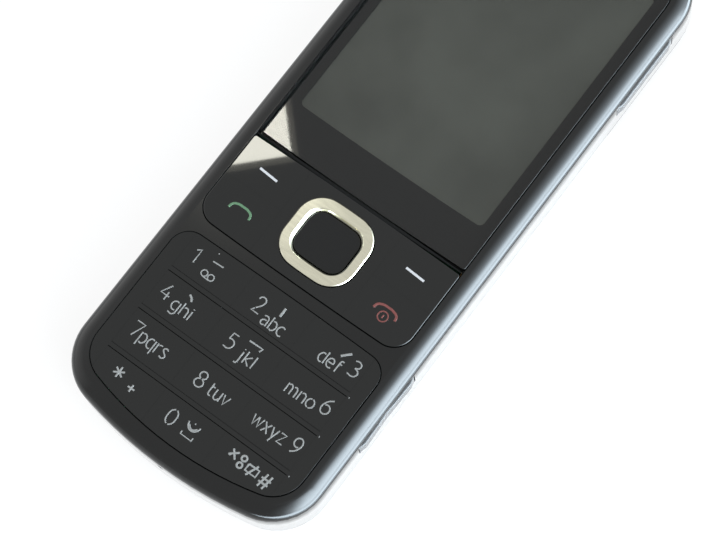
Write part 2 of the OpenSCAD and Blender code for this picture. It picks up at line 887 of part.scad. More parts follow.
module display_holder() {
  outer_w = display_w + 2 * (holder_wall + snug / 2);
  outer_l = display_l + 2 * (holder_wall + snug / 2);
  color([0.72, 0.73, 0.74]) difference() {
    slab(0, display_y, outer_w, outer_l, board_top, cavity_top - snug);
    slab(0, display_y, display_w + snug, display_l + snug, board_top + holder_floor_t, face_z);
    slab(0, display_y, display_w - 2 * holder_rim, display_l - 2 * holder_rim, 0, face_z);
  }
}

module display_module() {
  color([0.32, 0.33, 0.3]) slab(0, display_y, display_w, display_l, board_top + holder_floor_t, display_top);
}

flex_t = 0.15;
flex_w = 12;
flex_l = 2.8;
flex_x = -6;
plug_w = 8;
plug_l = 1.6;
plug_t = 0.5;

module display_flex() {
  flex_y = display_y - display_l / 2 - holder_wall - snug - flex_l / 2;
  color([0.75, 0.5, 0.2]) {
    slab(flex_x, flex_y, flex_w, flex_l, board_top, board_top + flex_t);
    slab(flex_x, flex_y, plug_w, plug_l, board_top, board_top + plug_t);
  }
}

// Sound and signals
earpiece_w = 10;
earpiece_l = 3.6;

module earpiece() {
  color([0.2, 0.2, 0.2]) stadium(0, ear_y - loose, earpiece_w, earpiece_l, board_top, cavity_top - snug);
}

module loudspeaker() {
  color([0.15, 0.15, 0.15]) slab(speaker_x, speaker_y, speaker_w, speaker_l, block_base, bay_floor);
}

module microphone() {
  color([0.7, 0.7, 0.68]) slab(0, mic_y, mic_w, mic_l, board_base - mic_t, board_base);
}

module vibration_motor() {
  color([0.7, 0.71, 0.72]) translate([motor_low_x, motor_y, motor_z]) rotate([0, 90, 0]) {
    cylinder(h = motor_l, d = motor_d);
    translate([0, 0, -weight_gap - weight_l]) cylinder(h = motor_l, d = shaft_d);
  }
}

// Eccentric weight: a half disc with a hub on the motor's shaft
module vibration_weight() {
  color([0.6, 0.58, 0.5]) translate([weight_low_x, motor_y, motor_z]) rotate([0, 90, 0]) difference() {
    union() {
      difference() {
        cylinder(h = weight_l, d = weight_d);
        translate([-motor_d, -motor_d, -past]) cube([motor_d, 2 * motor_d, weight_l + 2 * past]);
      }
      cylinder(h = weight_l, d = weight_hub_d);
    }
    translate([0, 0, -past]) cylinder(h = weight_l + 2 * past, d = shaft_d + snug);
  }
}

module camera_module() {
  color([0.08, 0.08, 0.09]) difference() {
    union() {
      slab(0, camera_y, camera_body, camera_body, camera_base + barrel_t, board_base);
      translate([0, camera_y, camera_base]) cylinder(h = 2 * barrel_t, d = barrel_d);
    }
    translate([0, camera_y, camera_base - sliver])
      cylinder(h = barrel_t / 2, d1 = 0.9 * barrel_d, d2 = barrel_d / 2);
  }
}

window_recess = 0.05;
window_t = 0.5;

module camera_window() {
  color([0.04, 0.04, 0.05])
    stadium(0, camera_y, camera_window_l, camera_window_h, window_recess, window_recess + window_t);
}

module flash_lamp() {
  color([0.9, 0.88, 0.7]) translate([flash_x, camera_y, camera_base])
    cylinder(h = board_base - camera_base, d = flash_d);
}

module battery() {
  color([0.24, 0.25, 0.27])
    tablet(0, battery_y, battery_w, battery_l, battery_r, bay_floor - loose - battery_t, bay_floor - loose);
}

contact_count = 3;
contact_pitch = 2.4;
contact_w = 1.2;
contact_t = 0.5;
contact_h = 2.4;

module battery_contacts() {
  contact_y = battery_y + battery_l / 2 + battery_end_gap - contact_t / 2;
  color([0.85, 0.7, 0.3]) for (i = [0 : contact_count - 1])
    slab((i - (contact_count - 1) / 2) * contact_pitch, contact_y, contact_w, contact_t, bay_floor - contact_h,
         bay_floor);
}

// A card with one cut corner, lying against the bay's floor
module card(x, w, l, t, corner) {
  translate([x - w / 2, tray_y - l / 2, bay_floor - t]) linear_extrude(t)
    polygon([[0, 0], [w, 0], [w, l - corner], [w - corner, l], [0, l]]);
}

// A holder: pressed steel rails that grip the card's two sides
module holder(x, w, t) {
  low = bay_floor - t - snug - holder_t;
  difference() {
    slab(x, tray_y, w + 2 * (snug + holder_t), holder_l, low, bay_floor);
    slab(x, tray_y, w + 2 * snug, holder_l + past, low + holder_t, bay_floor + past);
    slab(x, tray_y, w - 2 * holder_lip, holder_l + past, low - past, bay_floor);
  }
}

module sim_card() {
  color([0.9, 0.9, 0.92]) card(sim_x, sim_w, sim_l, sim_t, sim_corner);
}

module sim_holder() {
  color([0.72, 0.73, 0.74]) holder(sim_x, sim_w, sim_t);
}

module memory_card() {
  color([0.1, 0.1, 0.1]) card(memory_x, memory_w, memory_l, memory_t, memory_corner);
}

module card_holder() {
  color([0.72, 0.73, 0.74]) holder(memory_x, memory_w, memory_t);
}

// Sockets in the top end
tongue_t = 0.6;
tongue_side = 1.5;
usb_floor = 0.8;

module usb_socket() {
  back_y = socket_y - usb_depth;
  color([0.72, 0.73, 0.74]) {
    difference() {
      block([usb_x - usb_w / 2, back_y, socket_z - usb_h / 2],
            [usb_x + usb_w / 2, socket_y, socket_z + usb_h / 2]);
      block([usb_x - usb_w / 2 + socket_wall, back_y + usb_floor, socket_z - usb_h / 2 + socket_wall],
            [usb_x + usb_w / 2 - socket_wall, socket_y + past, socket_z + usb_h / 2 - socket_wall]);
    }
    block([usb_x - usb_w / 2 + tongue_side, back_y + usb_floor / 2, socket_z - tongue_t / 2],
          [usb_x + usb_w / 2 - tongue_side, socket_y - usb_floor, socket_z + tongue_t / 2]);
  }
}

module charger_jack() {
  color([0.2, 0.2, 0.2]) translate([jack_x, socket_y - jack_depth, socket_z]) rotate([-90, 0, 0])
    difference() {
      cylinder(h = jack_depth, d = jack_d);
      translate([0, 0, jack_floor]) cylinder(h = jack_depth, d = jack_bore_d);
    }
}

// Folded antenna track under the rear top panel
antenna_w = 26;
antenna_l = 5;
antenna_rise = 7.4;
track_w = 1;
track_l = 18;
track_shift = 2;

module antenna() {
  antenna_y = half_l - antenna_rise;
  color([0.8, 0.6, 0.3]) difference() {
    slab(0, antenna_y, antenna_w, antenna_l, cover_t, block_base);
    for (side = [-1, 1])
      slab(side * track_shift, antenna_y - side * track_w, track_l, track_w, 0, block_base + past);
  }
}

front_frame();
chassis();
rear_cover();
rear_top_panel();
display_lens();
display_mask();
earpiece_grille();
nav_surround();
left_soft_key();
right_soft_key();
call_key();
end_key();
nav_ring();
ring_gimbal();
centre_key();
keypad_ladder();
key_1();
key_2();
key_3();
key_4();
key_5();
key_6();
key_7();
key_8();
key_9();
key_star();
key_0();
key_hash();
key_mat();
dome_sheet();
volume_rocker();
camera_key();
side_switch_strip();
main_board();
shield_cans();
display_module();
display_holder();
display_flex();
earpiece();
loudspeaker();
microphone();
vibration_motor();
vibration_weight();
camera_module();
camera_window();
flash_lamp();
battery();
battery_contacts();
sim_card();
sim_holder();
memory_card();
card_holder();
usb_socket();
charger_jack();
antenna();
board_screws();
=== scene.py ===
"""Looks of a candybar feature phone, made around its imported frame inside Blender."""

import json
import math
from collections import namedtuple

import bmesh
import bpy
from bpy.props import FloatProperty, FloatVectorProperty, PointerProperty
from bpy.types import Operator, Panel, PropertyGroup
from mathutils import Matrix, Vector


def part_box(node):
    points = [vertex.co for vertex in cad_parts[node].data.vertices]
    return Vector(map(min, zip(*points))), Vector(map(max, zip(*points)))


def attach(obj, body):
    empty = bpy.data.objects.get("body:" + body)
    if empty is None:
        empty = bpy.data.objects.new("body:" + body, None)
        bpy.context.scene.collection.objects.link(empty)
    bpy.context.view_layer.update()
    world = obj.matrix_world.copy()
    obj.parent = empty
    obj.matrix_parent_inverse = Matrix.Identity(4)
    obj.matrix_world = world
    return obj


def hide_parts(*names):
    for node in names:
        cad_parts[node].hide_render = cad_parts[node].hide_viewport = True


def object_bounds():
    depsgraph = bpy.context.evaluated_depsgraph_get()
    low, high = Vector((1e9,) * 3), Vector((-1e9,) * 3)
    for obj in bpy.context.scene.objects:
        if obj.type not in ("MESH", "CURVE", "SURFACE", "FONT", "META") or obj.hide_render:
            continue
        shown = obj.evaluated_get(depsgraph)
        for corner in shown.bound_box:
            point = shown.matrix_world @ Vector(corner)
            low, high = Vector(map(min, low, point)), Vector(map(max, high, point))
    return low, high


bl_info = {
    "name": "Feature phone looks",
    "version": (1, 0, 0),
    "blender": (4, 5, 0),
    "location": "View3D > Sidebar > Phone",
    "description": "Models the visible pieces of a candybar feature phone and lights them",
    "category": "Object",
}

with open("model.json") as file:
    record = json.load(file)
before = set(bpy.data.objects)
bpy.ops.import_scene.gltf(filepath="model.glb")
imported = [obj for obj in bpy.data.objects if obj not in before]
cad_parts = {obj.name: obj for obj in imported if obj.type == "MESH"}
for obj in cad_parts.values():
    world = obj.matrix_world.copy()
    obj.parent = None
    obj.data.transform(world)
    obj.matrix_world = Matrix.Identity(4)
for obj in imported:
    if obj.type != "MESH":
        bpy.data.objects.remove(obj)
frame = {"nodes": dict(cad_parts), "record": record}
CAD_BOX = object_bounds()
MM = 0.001
UP = Vector((0, 0, 1))

# Steps of the rounded stretches and limits of the mesh tools; from SQUARE_ON a face is square to an axis
CORNER_STEPS = 12
BOW_STEPS = 14
ROLL_STEPS = 12
RIM_STEPS = 4
CUT_SNAP = 1e-8
MERGE_DISTANCE = 0.002 * MM
SOFT_EDGE = math.radians(5)
SQUARE_ON = 0.99
FLAT_BOW = 900 * MM
SHARP_CORNER = 0.45 * MM
LEAST_CORNER = 0.05 * MM
SLOT_ROUNDING = 0.98

# Values of the finishes that no piece sets by itself
GRAIN_HEIGHT = 0.02 * MM
BROAD_GRAIN = 90.0
GLASS_IOR = 1.5
GLASS_ONSET = 0.12
GLASS_DUST = 0.02
DUST_FILM = 0.3

# Light of the room as ramps: places along a ramp and the share of the strength there
SKY_WAY = (0.99, 0.0, 0.12)
SKY_FALL = ((0.0, 0.0), (0.1, 0.025), (0.42, 0.085), (0.65, 0.165), (0.81, 0.3), (0.915, 0.55),
            (0.945, 0.765), (1.0, 0.85))
SKY_SIDES = ((0.0, 0.0), (0.2, 0.1), (0.4, 0.3), (0.56, 1.0), (1.0, 1.0))
PANE_RISE = ((0.0, 0.95), (0.4, 0.89), (0.68, 0.75), (0.85, 0.565), (0.95, 0.325), (0.985, 0.15), (1.0, 0.0))
PANE_SIDES = ((0.0, 0.0), (0.56, 0.0), (0.66, 0.45), (0.75, 1.0), (0.85, 1.0), (0.925, 0.0), (1.0, 0.0))
SLOPES = (-2.0, 0.5)
LEAST_RIGHT = 0.05
RIGHT_RISE = 8.0
WALL_WAY = (-0.97, 0.1, 0.2)
WALL_FALL = ((0.0, 0.0), (0.5, 0.0), (0.68, 0.35), (0.845, 0.55), (0.96, 0.8), (1.0, 1.0))

# Floor, table and lamp in metres; a reach is half a side, and the square lamp has one corner at its right
CARD_REACH = 0.5
FLOOR_REACH = 2.5
FLOOR_GAP = 0.05 * MM
FLOOR_SHARE = 0.8
WHITE = (1, 1, 1, 1)
TABLE_PLACE = (0.2365, 0.1, 0.0005)
TABLE_WIDTH = 0.4
TABLE_DEPTH = 0.7
EDGE_PLACE = (0.033, 0.1, 0.0004)
EDGE_WIDTH = 0.007
LAMP_SIDE = 0.027
LAMP_RIM = 0.0026
LAMP_TURN = 45
LAMP_CORNER = Vector((-0.2, 0.1315, 0.611))
LAMP_PLACE = LAMP_CORNER - Vector((LAMP_SIDE / math.sqrt(2), 0, 0))
LAMP_TINT = (1.0, 0.985, 0.87)
RIM_RISE = Vector((0, 0, 0.001))
RIM_SHARE = 0.085
RIM_TINT = (1.0, 0.98, 0.88)

# The photograph's camera
PHOTO_WIDTH = 715
FOCAL_PIXELS = 2500.0
SENSOR = 36.0
CAMERA_PLACE = Vector((96.87, -87.45, 361.82)) * MM
CAMERA_RIGHT = Vector((0.79523, 0.60078, -0.08166))
CAMERA_DOWN = Vector((0.55465, -0.77526, -0.30220))

NUMBER_KEYS = ("key_1", "key_2", "key_3", "key_4", "key_5", "key_6", "key_7", "key_8", "key_9", "key_star",
               "key_0", "key_hash")
COLUMNS = 3
CORNER_KEYS = ("left_soft_key", "right_soft_key", "call_key", "end_key")

# Outline of a flat piece seen from the front: straight sides, two corners and one bow at each end
Outline = namedtuple("Outline", "half low high low_corner high_corner low_bow high_bow")
# Stroke of a legend: its points, how bold it is, and whether it runs smoothly and closes
Stroke = namedtuple("Stroke", "points weight smooth closed")


def length(name, default, description):
    """A size in metres, given in millimetres."""
    return FloatProperty(name=name, description=description, default=default * MM, min=0.0, unit="LENGTH",
                         subtype="DISTANCE", precision=6)


def colour(name, default, description):
    """A colour, given in linear light."""
    return FloatVectorProperty(name=name, description=description, default=default, size=3, min=0.0, max=1.0,
                               subtype="COLOR")


def strength(name, default, description):
    """A brightness, or a share of one."""
    return FloatProperty(name=name, description=description, default=default, min=0.0)


class PhoneSizes(PropertyGroup):
    """Sizes of the modelled pieces that the frame's boxes don't give."""

    body_corner: length("Body corner", 8.9, "Corner radius of the body seen from the front")
    end_bow: length("End bow", 75, "Radius of the body's bowed ends")
    front_roll: length("Front roll", 2.2, "Radius that rolls the face over into the flank")
    panel_corner: length("Panel corner", 5.4, "Corner radius at the panels' bowed ends")
    panel_bow: length("Panel bow", 60, "Radius of the panels' bowed ends")
    nav_corner: length("Navigation corner", 3.4, "Corner radius at the navigation panel's lower end")
    number_corner: length("Number corner", 3.2, "Corner radius at the number panel's upper end")
    panel_gap: length("Panel gap", 0.1, "Clearance between a panel and the frame")
    panel_rim: length("Panel rim", 0.11, "Rounding of the navigation panel's edges")
    lens_rim: length("Lens rim", 0.045, "Rounding of the lens's edges")
    number_rim: length("Number rim", 0.015, "Rounding of the number panel's edges")
    hole_rim: length("Hole rim", 0.06, "Bevel along the earpiece slot, the ring's opening and its hole")
    face_crown: length("Face crown", 0.04, "Rise of the frame's face from its roll to its openings")
    frame_rim: length("Frame rim", 0.08, "Rounding of the frame's openings")
    cap_rim: length("Cap rim", 0.05, "Rounding where a cap meets a bar")
    hairline: length("Hairline", 0.012, "Seam between neighbouring caps")
    faint_seam: length("Faint seam", 0.03, "Seam above each bar")
    dark_seam: length("Dark seam", 0.09, "Seam below each bar")
    ring_corner: length("Ring corner", 4.2, "Outer corner radius of the ring")
    hole_corner: length("Hole corner", 2.7, "Corner radius of the ring's hole")
    ring_bow: length("Ring bow", 60, "Radius of the ring's bowed ends")
    ring_band_x: length("Ring band at the sides", 1.48, "Width of the ring's flat band at its sides")
    ring_band_y: length("Ring band at the ends", 1.645, "Width of the ring's flat band at its ends")
    ring_slope: length("Ring slope", 0.42, "Run of the sloping wall inside the ring")
    ring_rim: length("Ring rim", 0.11, "Bevel along the ring's outer edge")
    ring_gap: length("Ring gap", 0.1, "Clearance between the ring and the navigation panel")
    lip_outside: length("Lip outside", 0.04, "Run of the bevel along the ring's hole, outside its outline")
    lip_inside: length("Lip inside", 0.03, "Run of the bevel along the ring's hole, inside its outline")
    slope_foot: length("Slope foot", 0.4, "Depth of the sloping wall's foot below the centre key's box")
    centre_gap: length("Centre gap", 0.5, "Distance of the centre key from the outline of the ring's hole")
    centre_sink: length("Centre sink", 0.25, "Depth of the centre key's face below its box")
    centre_rim: length("Centre rim", 0.05, "Bevel along the centre key's edge")
    # Painted shade: depth of the band below the frame's seam where the chassis's colour is darkened to stand in
    # for shade
    painted_shade_depth: length("Seam shade", 2.6, "Height of the darker band on the flank below the frame's seam")
    side_rim: length("Side key rim", 0.15, "Rounding of the side keys")
    side_taper: length("Side key taper", 1.2, "Length of the taper at each end of the side keys")
    side_height: length("Side key height", 2.2, "Height of the side keys on the flank")
    side_lip: length("Side key lip", 0.6, "Length of the flange behind the flank at each end of a side key")
    side_root: length("Side key root", 2, "Depth of the side keys behind the flank")
    notch: length("Camera key notch", 0.2, "Depth of the mark in the middle of the camera key")
    lens_ledge: length("Lens ledge", 1.2, "Width of the frame's ledge under the lens")
    overlap_side: length("Side overlap", 0.5, "Width of the display that the print covers at each side")
    overlap_low: length("Lower overlap", 3.4, "Width of the display that the print covers at its lower end")
    overlap_high: length("Upper overlap", 0.6, "Width of the display that the print covers at its upper end")
    window_corner: length("Window corner", 0.9, "Corner radius of the window in the print")
    slot_gap: length("Slot gap", 0.05, "Clearance round the earpiece grille")
    glass_lift: length("Glass lift", 0.01, "Gap between the lens and the print behind it")
    split_gap: length("Split gap", 0.02, "Clearance between the bar in the split and the panels beside it")
    split_recess: length("Split recess", 0.2, "Depth of the bar in the split below the frame's face")
    stroke: length("Legend stroke", 0.225, "Width of the legends' strokes")
    bold_stroke: length("Sign stroke", 0.4, "Width of the strokes on the keys round the ring")
    legend_lift: length("Legend lift", 0.008, "Height of the printed legends above the caps")


class PhoneColours(PropertyGroup):
    """Colours of the finishes."""

    frame_metal: colour("Frame", (0.003, 0.0033, 0.0032), "Dark satin lacquer of the front frame")
    panel_black: colour("Panels", (0.004, 0.0045, 0.0042), "Dark gloss of the key panels")
    lens_black: colour("Lens print", (0.004, 0.0045, 0.0042), "Dark print behind the lens")
    lens_tint: colour("Lens tint", (0.95, 0.96, 0.95), "Tint of the clear lens")
    display_grey: colour("Display", (0.0385, 0.0403, 0.0335), "Display when it is off")
    ring_metal: colour("Ring", (0.75, 0.735, 0.59), "Warm bright metal of the ring")
    centre_black: colour("Centre key", (0.0025, 0.003, 0.0031), "Dark gloss of the centre key")
    side_grey: colour("Side keys", (0.13, 0.132, 0.135), "Grey lacquer of the side keys")
    legend_grey: colour("Legends", (0.225, 0.228, 0.222), "Print of the number legends")
    sign_white: colour("Selection signs", (0.48, 0.485, 0.5), "Print of the selection keys' signs")
    call_green: colour("Call sign", (0.075, 0.16, 0.085), "Print of the call sign")
    end_red: colour("End sign", (0.14, 0.033, 0.028), "Print of the end sign")
    floor: colour("Floor", (0.86, 0.86, 0.85), "Pale floor")


class PhoneStage(PropertyGroup):
    """Strength of the lights."""

    room: strength("Room", 0.72, "Brightness of the room")
    window: strength("Window", 22.0, "Brightness that the window adds")
    daylight: strength("Daylight", 0.35, "Share of the window that lights matt faces")
    wall: strength("Wall", 1.2, "Brightness that the wall on the left adds")
    table: strength("Table", 16.0, "Brightness of the sunlit table on the right")
    table_edge: strength("Table edge", 4.0, "Brightness of the table beside the phone")
    floor_gloss: strength("Floor in gloss", 0.95, "Glow of the floor in reflections")
    lamp: strength("Lamp", 19.0, "Brightness of the lamp overhead")
    window_tint: colour("Window tint", (0.77, 0.9, 1.0), "Colour of the window's light")


def sizes():
    """The sizes set on the scene."""
    return bpy.context.scene.phone_sizes


def colours():
    """The colours set on the scene."""
    return bpy.context.scene.phone_colours


def joined_box(*nodes):
    """Lowest and highest corner round several nodes."""
    lows, highs = zip(*[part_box(node) for node in nodes])
    return Vector(map(min, *lows)), Vector(map(max, *highs))


def lens_outline():
    """Outline of the display lens."""
    low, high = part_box("display_lens")
    s = sizes()
    return Outline(high.x, low.y, high.y, SHARP_CORNER, s.panel_corner, FLAT_BOW, s.panel_bow)


def window_outline():
    """Outline of the window in the lens's print."""
    low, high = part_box("display_module")
    s = sizes()
    return Outline(high.x - s.overlap_side, low.y + s.overlap_low, high.y - s.overlap_high, s.window_corner,
                   s.window_corner, FLAT_BOW, FLAT_BOW)


def slot_outline():
    """Outline of the earpiece slot."""
    low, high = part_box("earpiece_grille")
    gap = sizes().slot_gap
    corner = SLOT_ROUNDING * ((high.y - low.y) / 2 + gap)
    return Outline(high.x + gap, low.y - gap, high.y + gap, corner, corner, FLAT_BOW, FLAT_BOW)


def nav_outline():
    """Outline of the navigation panel."""
    low, high = joined_box("nav_surround", *CORNER_KEYS)
    return Outline(high.x, low.y, high.y, sizes().nav_corner, SHARP_CORNER, FLAT_BOW, FLAT_BOW)


def number_outline():
    """Outline of the number panel."""
    low, high = joined_box("keypad_ladder", *NUMBER_KEYS)
    s = sizes()
    return Outline(high.x, low.y, high.y, s.panel_corner, s.number_corner, s.panel_bow, FLAT_BOW)


def body_outline():
    """Outline of the whole body."""
    low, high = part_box("front_frame")
    s = sizes()
    return Outline(high.x, low.y, high.y, s.body_corner, s.body_corner, s.end_bow, s.end_bow)


def ring_outlines():
    """Outer outline of the ring and outline of its hole."""
    low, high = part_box("nav_ring")
    s = sizes()
    outer = Outline(high.x, low.y, high.y, s.ring_corner, s.ring_corner, s.ring_bow, s.ring_bow)
    hole = Outline(high.x - s.ring_band_x, low.y + s.ring_band_y, high.y - s.ring_band_y, s.hole_corner,
                   s.hole_corner, s.ring_bow, s.ring_bow)
    return outer, hole


def swing(bm, vert, centre, degrees, steps):
    """Carries a vertex round a centre, leaving edges behind it, and gives the last vertex."""
    made = bmesh.ops.spin(bm, geom=[vert], cent=(centre[0], centre[1], vert.co.z), axis=UP, dvec=(0, 0, 0),
                          angle=math.radians(degrees), steps=steps, use_merge=False, use_duplicate=False)
    return next(item for item in made["geom_last"] if isinstance(item, bmesh.types.BMVert))


def draw_end(bm, half, crown, corner, bow, z, side):
    """Draws one end of an outline: corner, bow, corner. Side is 1 for the upper end and -1 for the lower."""
    rise = math.sqrt((bow - corner) ** 2 - (half - corner) ** 2)
    turn = math.degrees(math.atan2(rise, half - corner))
    corner_y = crown * side - bow + rise
    first = bm.verts.new((side * half, side * corner_y, z))
    last = swing(bm, first, (side * (half - corner), side * corner_y), turn, CORNER_STEPS)
    last = swing(bm, last, (0, side * (crown * side - bow)), 180 - 2 * turn, BOW_STEPS)
    last = swing(bm, last, (side * (corner - half), side * corner_y), turn, CORNER_STEPS)
    return first, last


def draw_loop(bm, outline, inset, z):
    """Draws a closed outline, drawn in by an inset, and gives its edges."""
    before = set(bm.edges)
    half = outline.half - inset
    upper = draw_end(bm, half, outline.high - inset, max(outline.high_corner - inset, LEAST_CORNER),
                     outline.high_bow - inset, z, 1)
    lower = draw_end(bm, half, outline.low + inset, max(outline.low_corner - inset, LEAST_CORNER),
                     outline.low_bow - inset, z, -1)
    bm.edges.new((upper[1], lower[0]))
    bm.edges.new((lower[1], upper[0]))
    return [edge for edge in bm.edges if edge not in before]


def close(bm, loop, material=0):
    """Closes a loop with one face."""
    bmesh.ops.edgeloop_fill(bm, edges=loop, mat_nr=material)


def fill_between(bm, *loops):
    """Fills the flat face between an outer loop and the loops of its holes."""
    bmesh.ops.triangle_fill(bm, use_beauty=True, edges=[edge for loop in loops for edge in loop], normal=UP)


def rolled(inset, low, high, steps):
    """Insets and levels along a quarter turn from an upright wall to a level face."""
    angles = [math.pi / 2 * step / steps for step in range(steps + 1)]
    return [(inset * (1 - math.cos(angle)), low + (high - low) * math.sin(angle)) for angle in angles]


def rim_profile(base, top, rim):
    """Insets and levels of a panel whose upper edge is rounded."""
    return [(0, base)] + rolled(rim, top - rim, top, RIM_STEPS)


def loft(bm, outline, profile):
    """Draws an outline at each inset and level of a profile, and joins each loop to the next."""
    loops = [draw_loop(bm, outline, inset, z) for inset, z in profile]
    for first, second in zip(loops, loops[1:]):
        bmesh.ops.bridge_loops(bm, edges=first + second)
    return loops


def slab(outline, profile):
    """A closed bmesh of an outline lofted through a profile."""
    bm = bmesh.new()
    loops = loft(bm, outline, profile)
    close(bm, loops[0])
    close(bm, loops[-1])
    return bm


def cut(bm, point, normal, **options):
    """Cuts an edge loop along a plane and gives its edges."""
    made = bmesh.ops.bisect_plane(bm, geom=bm.verts[:] + bm.edges[:] + bm.faces[:], dist=CUT_SNAP,
                                  plane_co=point, plane_no=normal, **options)
    return [item for item in made["geom_cut"] if isinstance(item, bmesh.types.BMEdge)]


def trim_box(bm, low_x, high_x, low_y, high_y):
    """Keeps what lies between the given planes and closes the cuts. A plane that is None isn't cut."""
    normals = ((-1, 0, 0), (1, 0, 0), (0, -1, 0), (0, 1, 0))
    for value, normal in zip((low_x, high_x, low_y, high_y), normals):
        if value is not None:
            edges = cut(bm, (value, value, 0), normal, clear_outer=True)
            bmesh.ops.holes_fill(bm, edges=edges, sides=0)


def round_edges(bm, edges, width, segments):
    """Rounds edges."""
    bmesh.ops.bevel(bm, geom=edges, offset=width, offset_type="OFFSET", affect="EDGES", segments=segments,
                    profile=0.5, material=-1, clamp_overlap=True)


def panel_piece(outline, profile, cuts, rim):
    """The piece of a panel between cuts, with the upper edges of the cuts across the panel rounded."""
    bm = slab(outline, profile)
    trim_box(bm, *cuts)
    edges = []
    for edge in bm.edges:
        if len(edge.link_faces) == 2:
            wall, top = sorted(edge.link_faces, key=lambda face: face.normal.z)
            if abs(wall.normal.y) > SQUARE_ON and top.normal.z > SQUARE_ON:
                edges.append(edge)
    if edges:
        round_edges(bm, edges, rim, segments=2)
    return bm


def cap_growth():
    """Seam between two caps' solids, and the growth of a cap on each side that leaves a hairline there."""
    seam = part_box("key_2")[0].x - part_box("key_1")[1].x
    return seam, (seam - sizes().hairline) / 2


def mesh_of(name, bm):
    """The bmesh as a mesh. The bmesh is used up."""
    mesh = bpy.data.meshes.new(name)
    bm.to_mesh(mesh)
    bm.free()
    return mesh


def new_object(name, data):
    """An object in the scene."""
    made = bpy.data.objects.new(name, data)
    bpy.context.scene.collection.objects.link(made)
    return made


def add_piece(name, bm, material, body, nodes, sharp=40.0, level_top=True):
    """Makes the bmesh an object that rides on a body and stands for the nodes it replaces. Edges steeper than
    sharp stay sharp, and so does the border of a level top."""
    bmesh.ops.recalc_face_normals(bm, faces=bm.faces[:])
    limit = math.radians(sharp)
    for face in bm.faces:
        face.smooth = True
    for edge in bm.edges:
        level = [face.normal.z > SQUARE_ON for face in edge.link_faces]
        edge.smooth = (len(level) == 2 and edge.calc_face_angle(0.0) < limit
                       and not (level_top and level[0] != level[1]))
    piece = new_object(name, mesh_of(name, bm))
    piece.data.materials.append(material)
    shading = piece.modifiers.new("Even shading", "WEIGHTED_NORMAL")
    shading.keep_sharp = True
    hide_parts(*nodes)
    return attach(piece, body)


def repaint(node, material):
    """Gives a node's solid a finish."""
    solid = frame["nodes"][node]
    solid.data.materials.clear()
    solid.data.materials.append(material)
    return solid


def feed(tree, socket, value):
    """Links an output to an input, or sets the input to a plain value."""
    if isinstance(value, bpy.types.NodeSocket):
        tree.links.new(value, socket)
    else:
        socket.default_value = value


def add_node(tree, kind, values=None, **settings):
    """A shader node with its settings, its named or counted inputs fed with outputs or plain values."""
    node = tree.nodes.new("ShaderNode" + kind)
    for name, setting in settings.items():
        setattr(node, name, setting)
    for key, value in (values or {}).items():
        feed(tree, node.inputs[key], value)
    return node


def blank_tree(owner, kind):
    """The emptied node tree of a material or world, and the input of its output."""
    owner.use_nodes = True
    tree = owner.node_tree
    tree.nodes.clear()
    return tree, add_node(tree, "Output" + kind).inputs["Surface"]


def reckon(tree, operation, *values, clamp=False):
    """Result of a Math node."""
    return add_node(tree, "Math", dict(enumerate(values)), operation=operation, use_clamp=clamp).outputs[0]


def vector_reckon(tree, operation, values):
    """Result of a Vector Math node that gives a vector."""
    return add_node(tree, "VectorMath", values, operation=operation).outputs["Vector"]


def facing(tree, ways, way):
    """How far each way looks along a given way."""
    return add_node(tree, "VectorMath", {0: ways, 1: way}, operation="DOT_PRODUCT").outputs["Value"]


def spread_out(tree, value, ends):
    """A value mapped so that the given ends become 0 and 1."""
    mapped = {"Value": value, "From Min": ends[0], "From Max": ends[1]}
    return add_node(tree, "MapRange", mapped).outputs["Result"]


def fall_off(tree, value, stops):
    """A value run through a ramp of grey stops."""
    ramp = add_node(tree, "ValToRGB", {"Fac": value})
    marks = ramp.color_ramp.elements
    for place, share in stops:
        there = [mark for mark in marks if mark.position == place]
        mark = there[0] if there else marks.new(place)
        mark.color = (share, share, share, 1)
    return ramp.outputs["Color"]


def blend(tree, share, first, second):
    """A shader that goes from the first to the second by a share."""
    return add_node(tree, "MixShader", {"Fac": share, 1: first, 2: second}).outputs["Shader"]


def new_group(name, inputs, outputs):
    """A node group with its sockets, and the sockets at its entry and its exit."""
    group = bpy.data.node_groups.new(name, "ShaderNodeTree")
    for label, kind, *default in inputs:
        socket = group.interface.new_socket(name=label, in_out="INPUT", socket_type="NodeSocket" + kind)
        if default:
            socket.default_value = default[0]
    for label, kind in outputs:
        group.interface.new_socket(name=label, in_out="OUTPUT", socket_type="NodeSocket" + kind)
    return group, group.nodes.new("NodeGroupInput").outputs, group.nodes.new("NodeGroupOutput").inputs


def grain_group():
    """Fine grain: varies a colour and a roughness over the surface and gives a height."""
    group = bpy.data.node_groups.get("Fine grain")
    if group:
        return group
    group, given, result = new_group(
        "Fine grain",
        [("Vector", "Vector"), ("Scale", "Float", 4000.0), ("Colour", "Color", (0.5, 0.5, 0.5, 1.0)),
         ("Colour spread", "Float", 0.1), ("Roughness", "Float", 0.3), ("Roughness spread", "Float", 0.1)],
        [("Colour", "Color"), ("Roughness", "Float"), ("Height", "Float")],
    )
    place = given["Vector"]
    fine = {"Vector": place, "Scale": given["Scale"], "Detail": 5.0}
    noise = add_node(group, "TexNoise", fine).outputs["Fac"]
    coarse = {"Vector": place, "Scale": BROAD_GRAIN, "Detail": 2.0}
    broad = add_node(group, "TexNoise", coarse).outputs["Fac"]
    centred = reckon(group, "SUBTRACT", reckon(group, "ADD", noise, broad), 1.0)
    shade = reckon(group, "MULTIPLY_ADD", centred, given["Colour spread"], 1.0)
    rough = reckon(group, "MULTIPLY_ADD", centred, given["Roughness spread"], given["Roughness"])
    feed(group, result["Colour"], vector_reckon(group, "SCALE", {0: given["Colour"], "Scale": shade}))
    feed(group, result["Roughness"], rough)
    feed(group, result["Height"], noise)
    return group


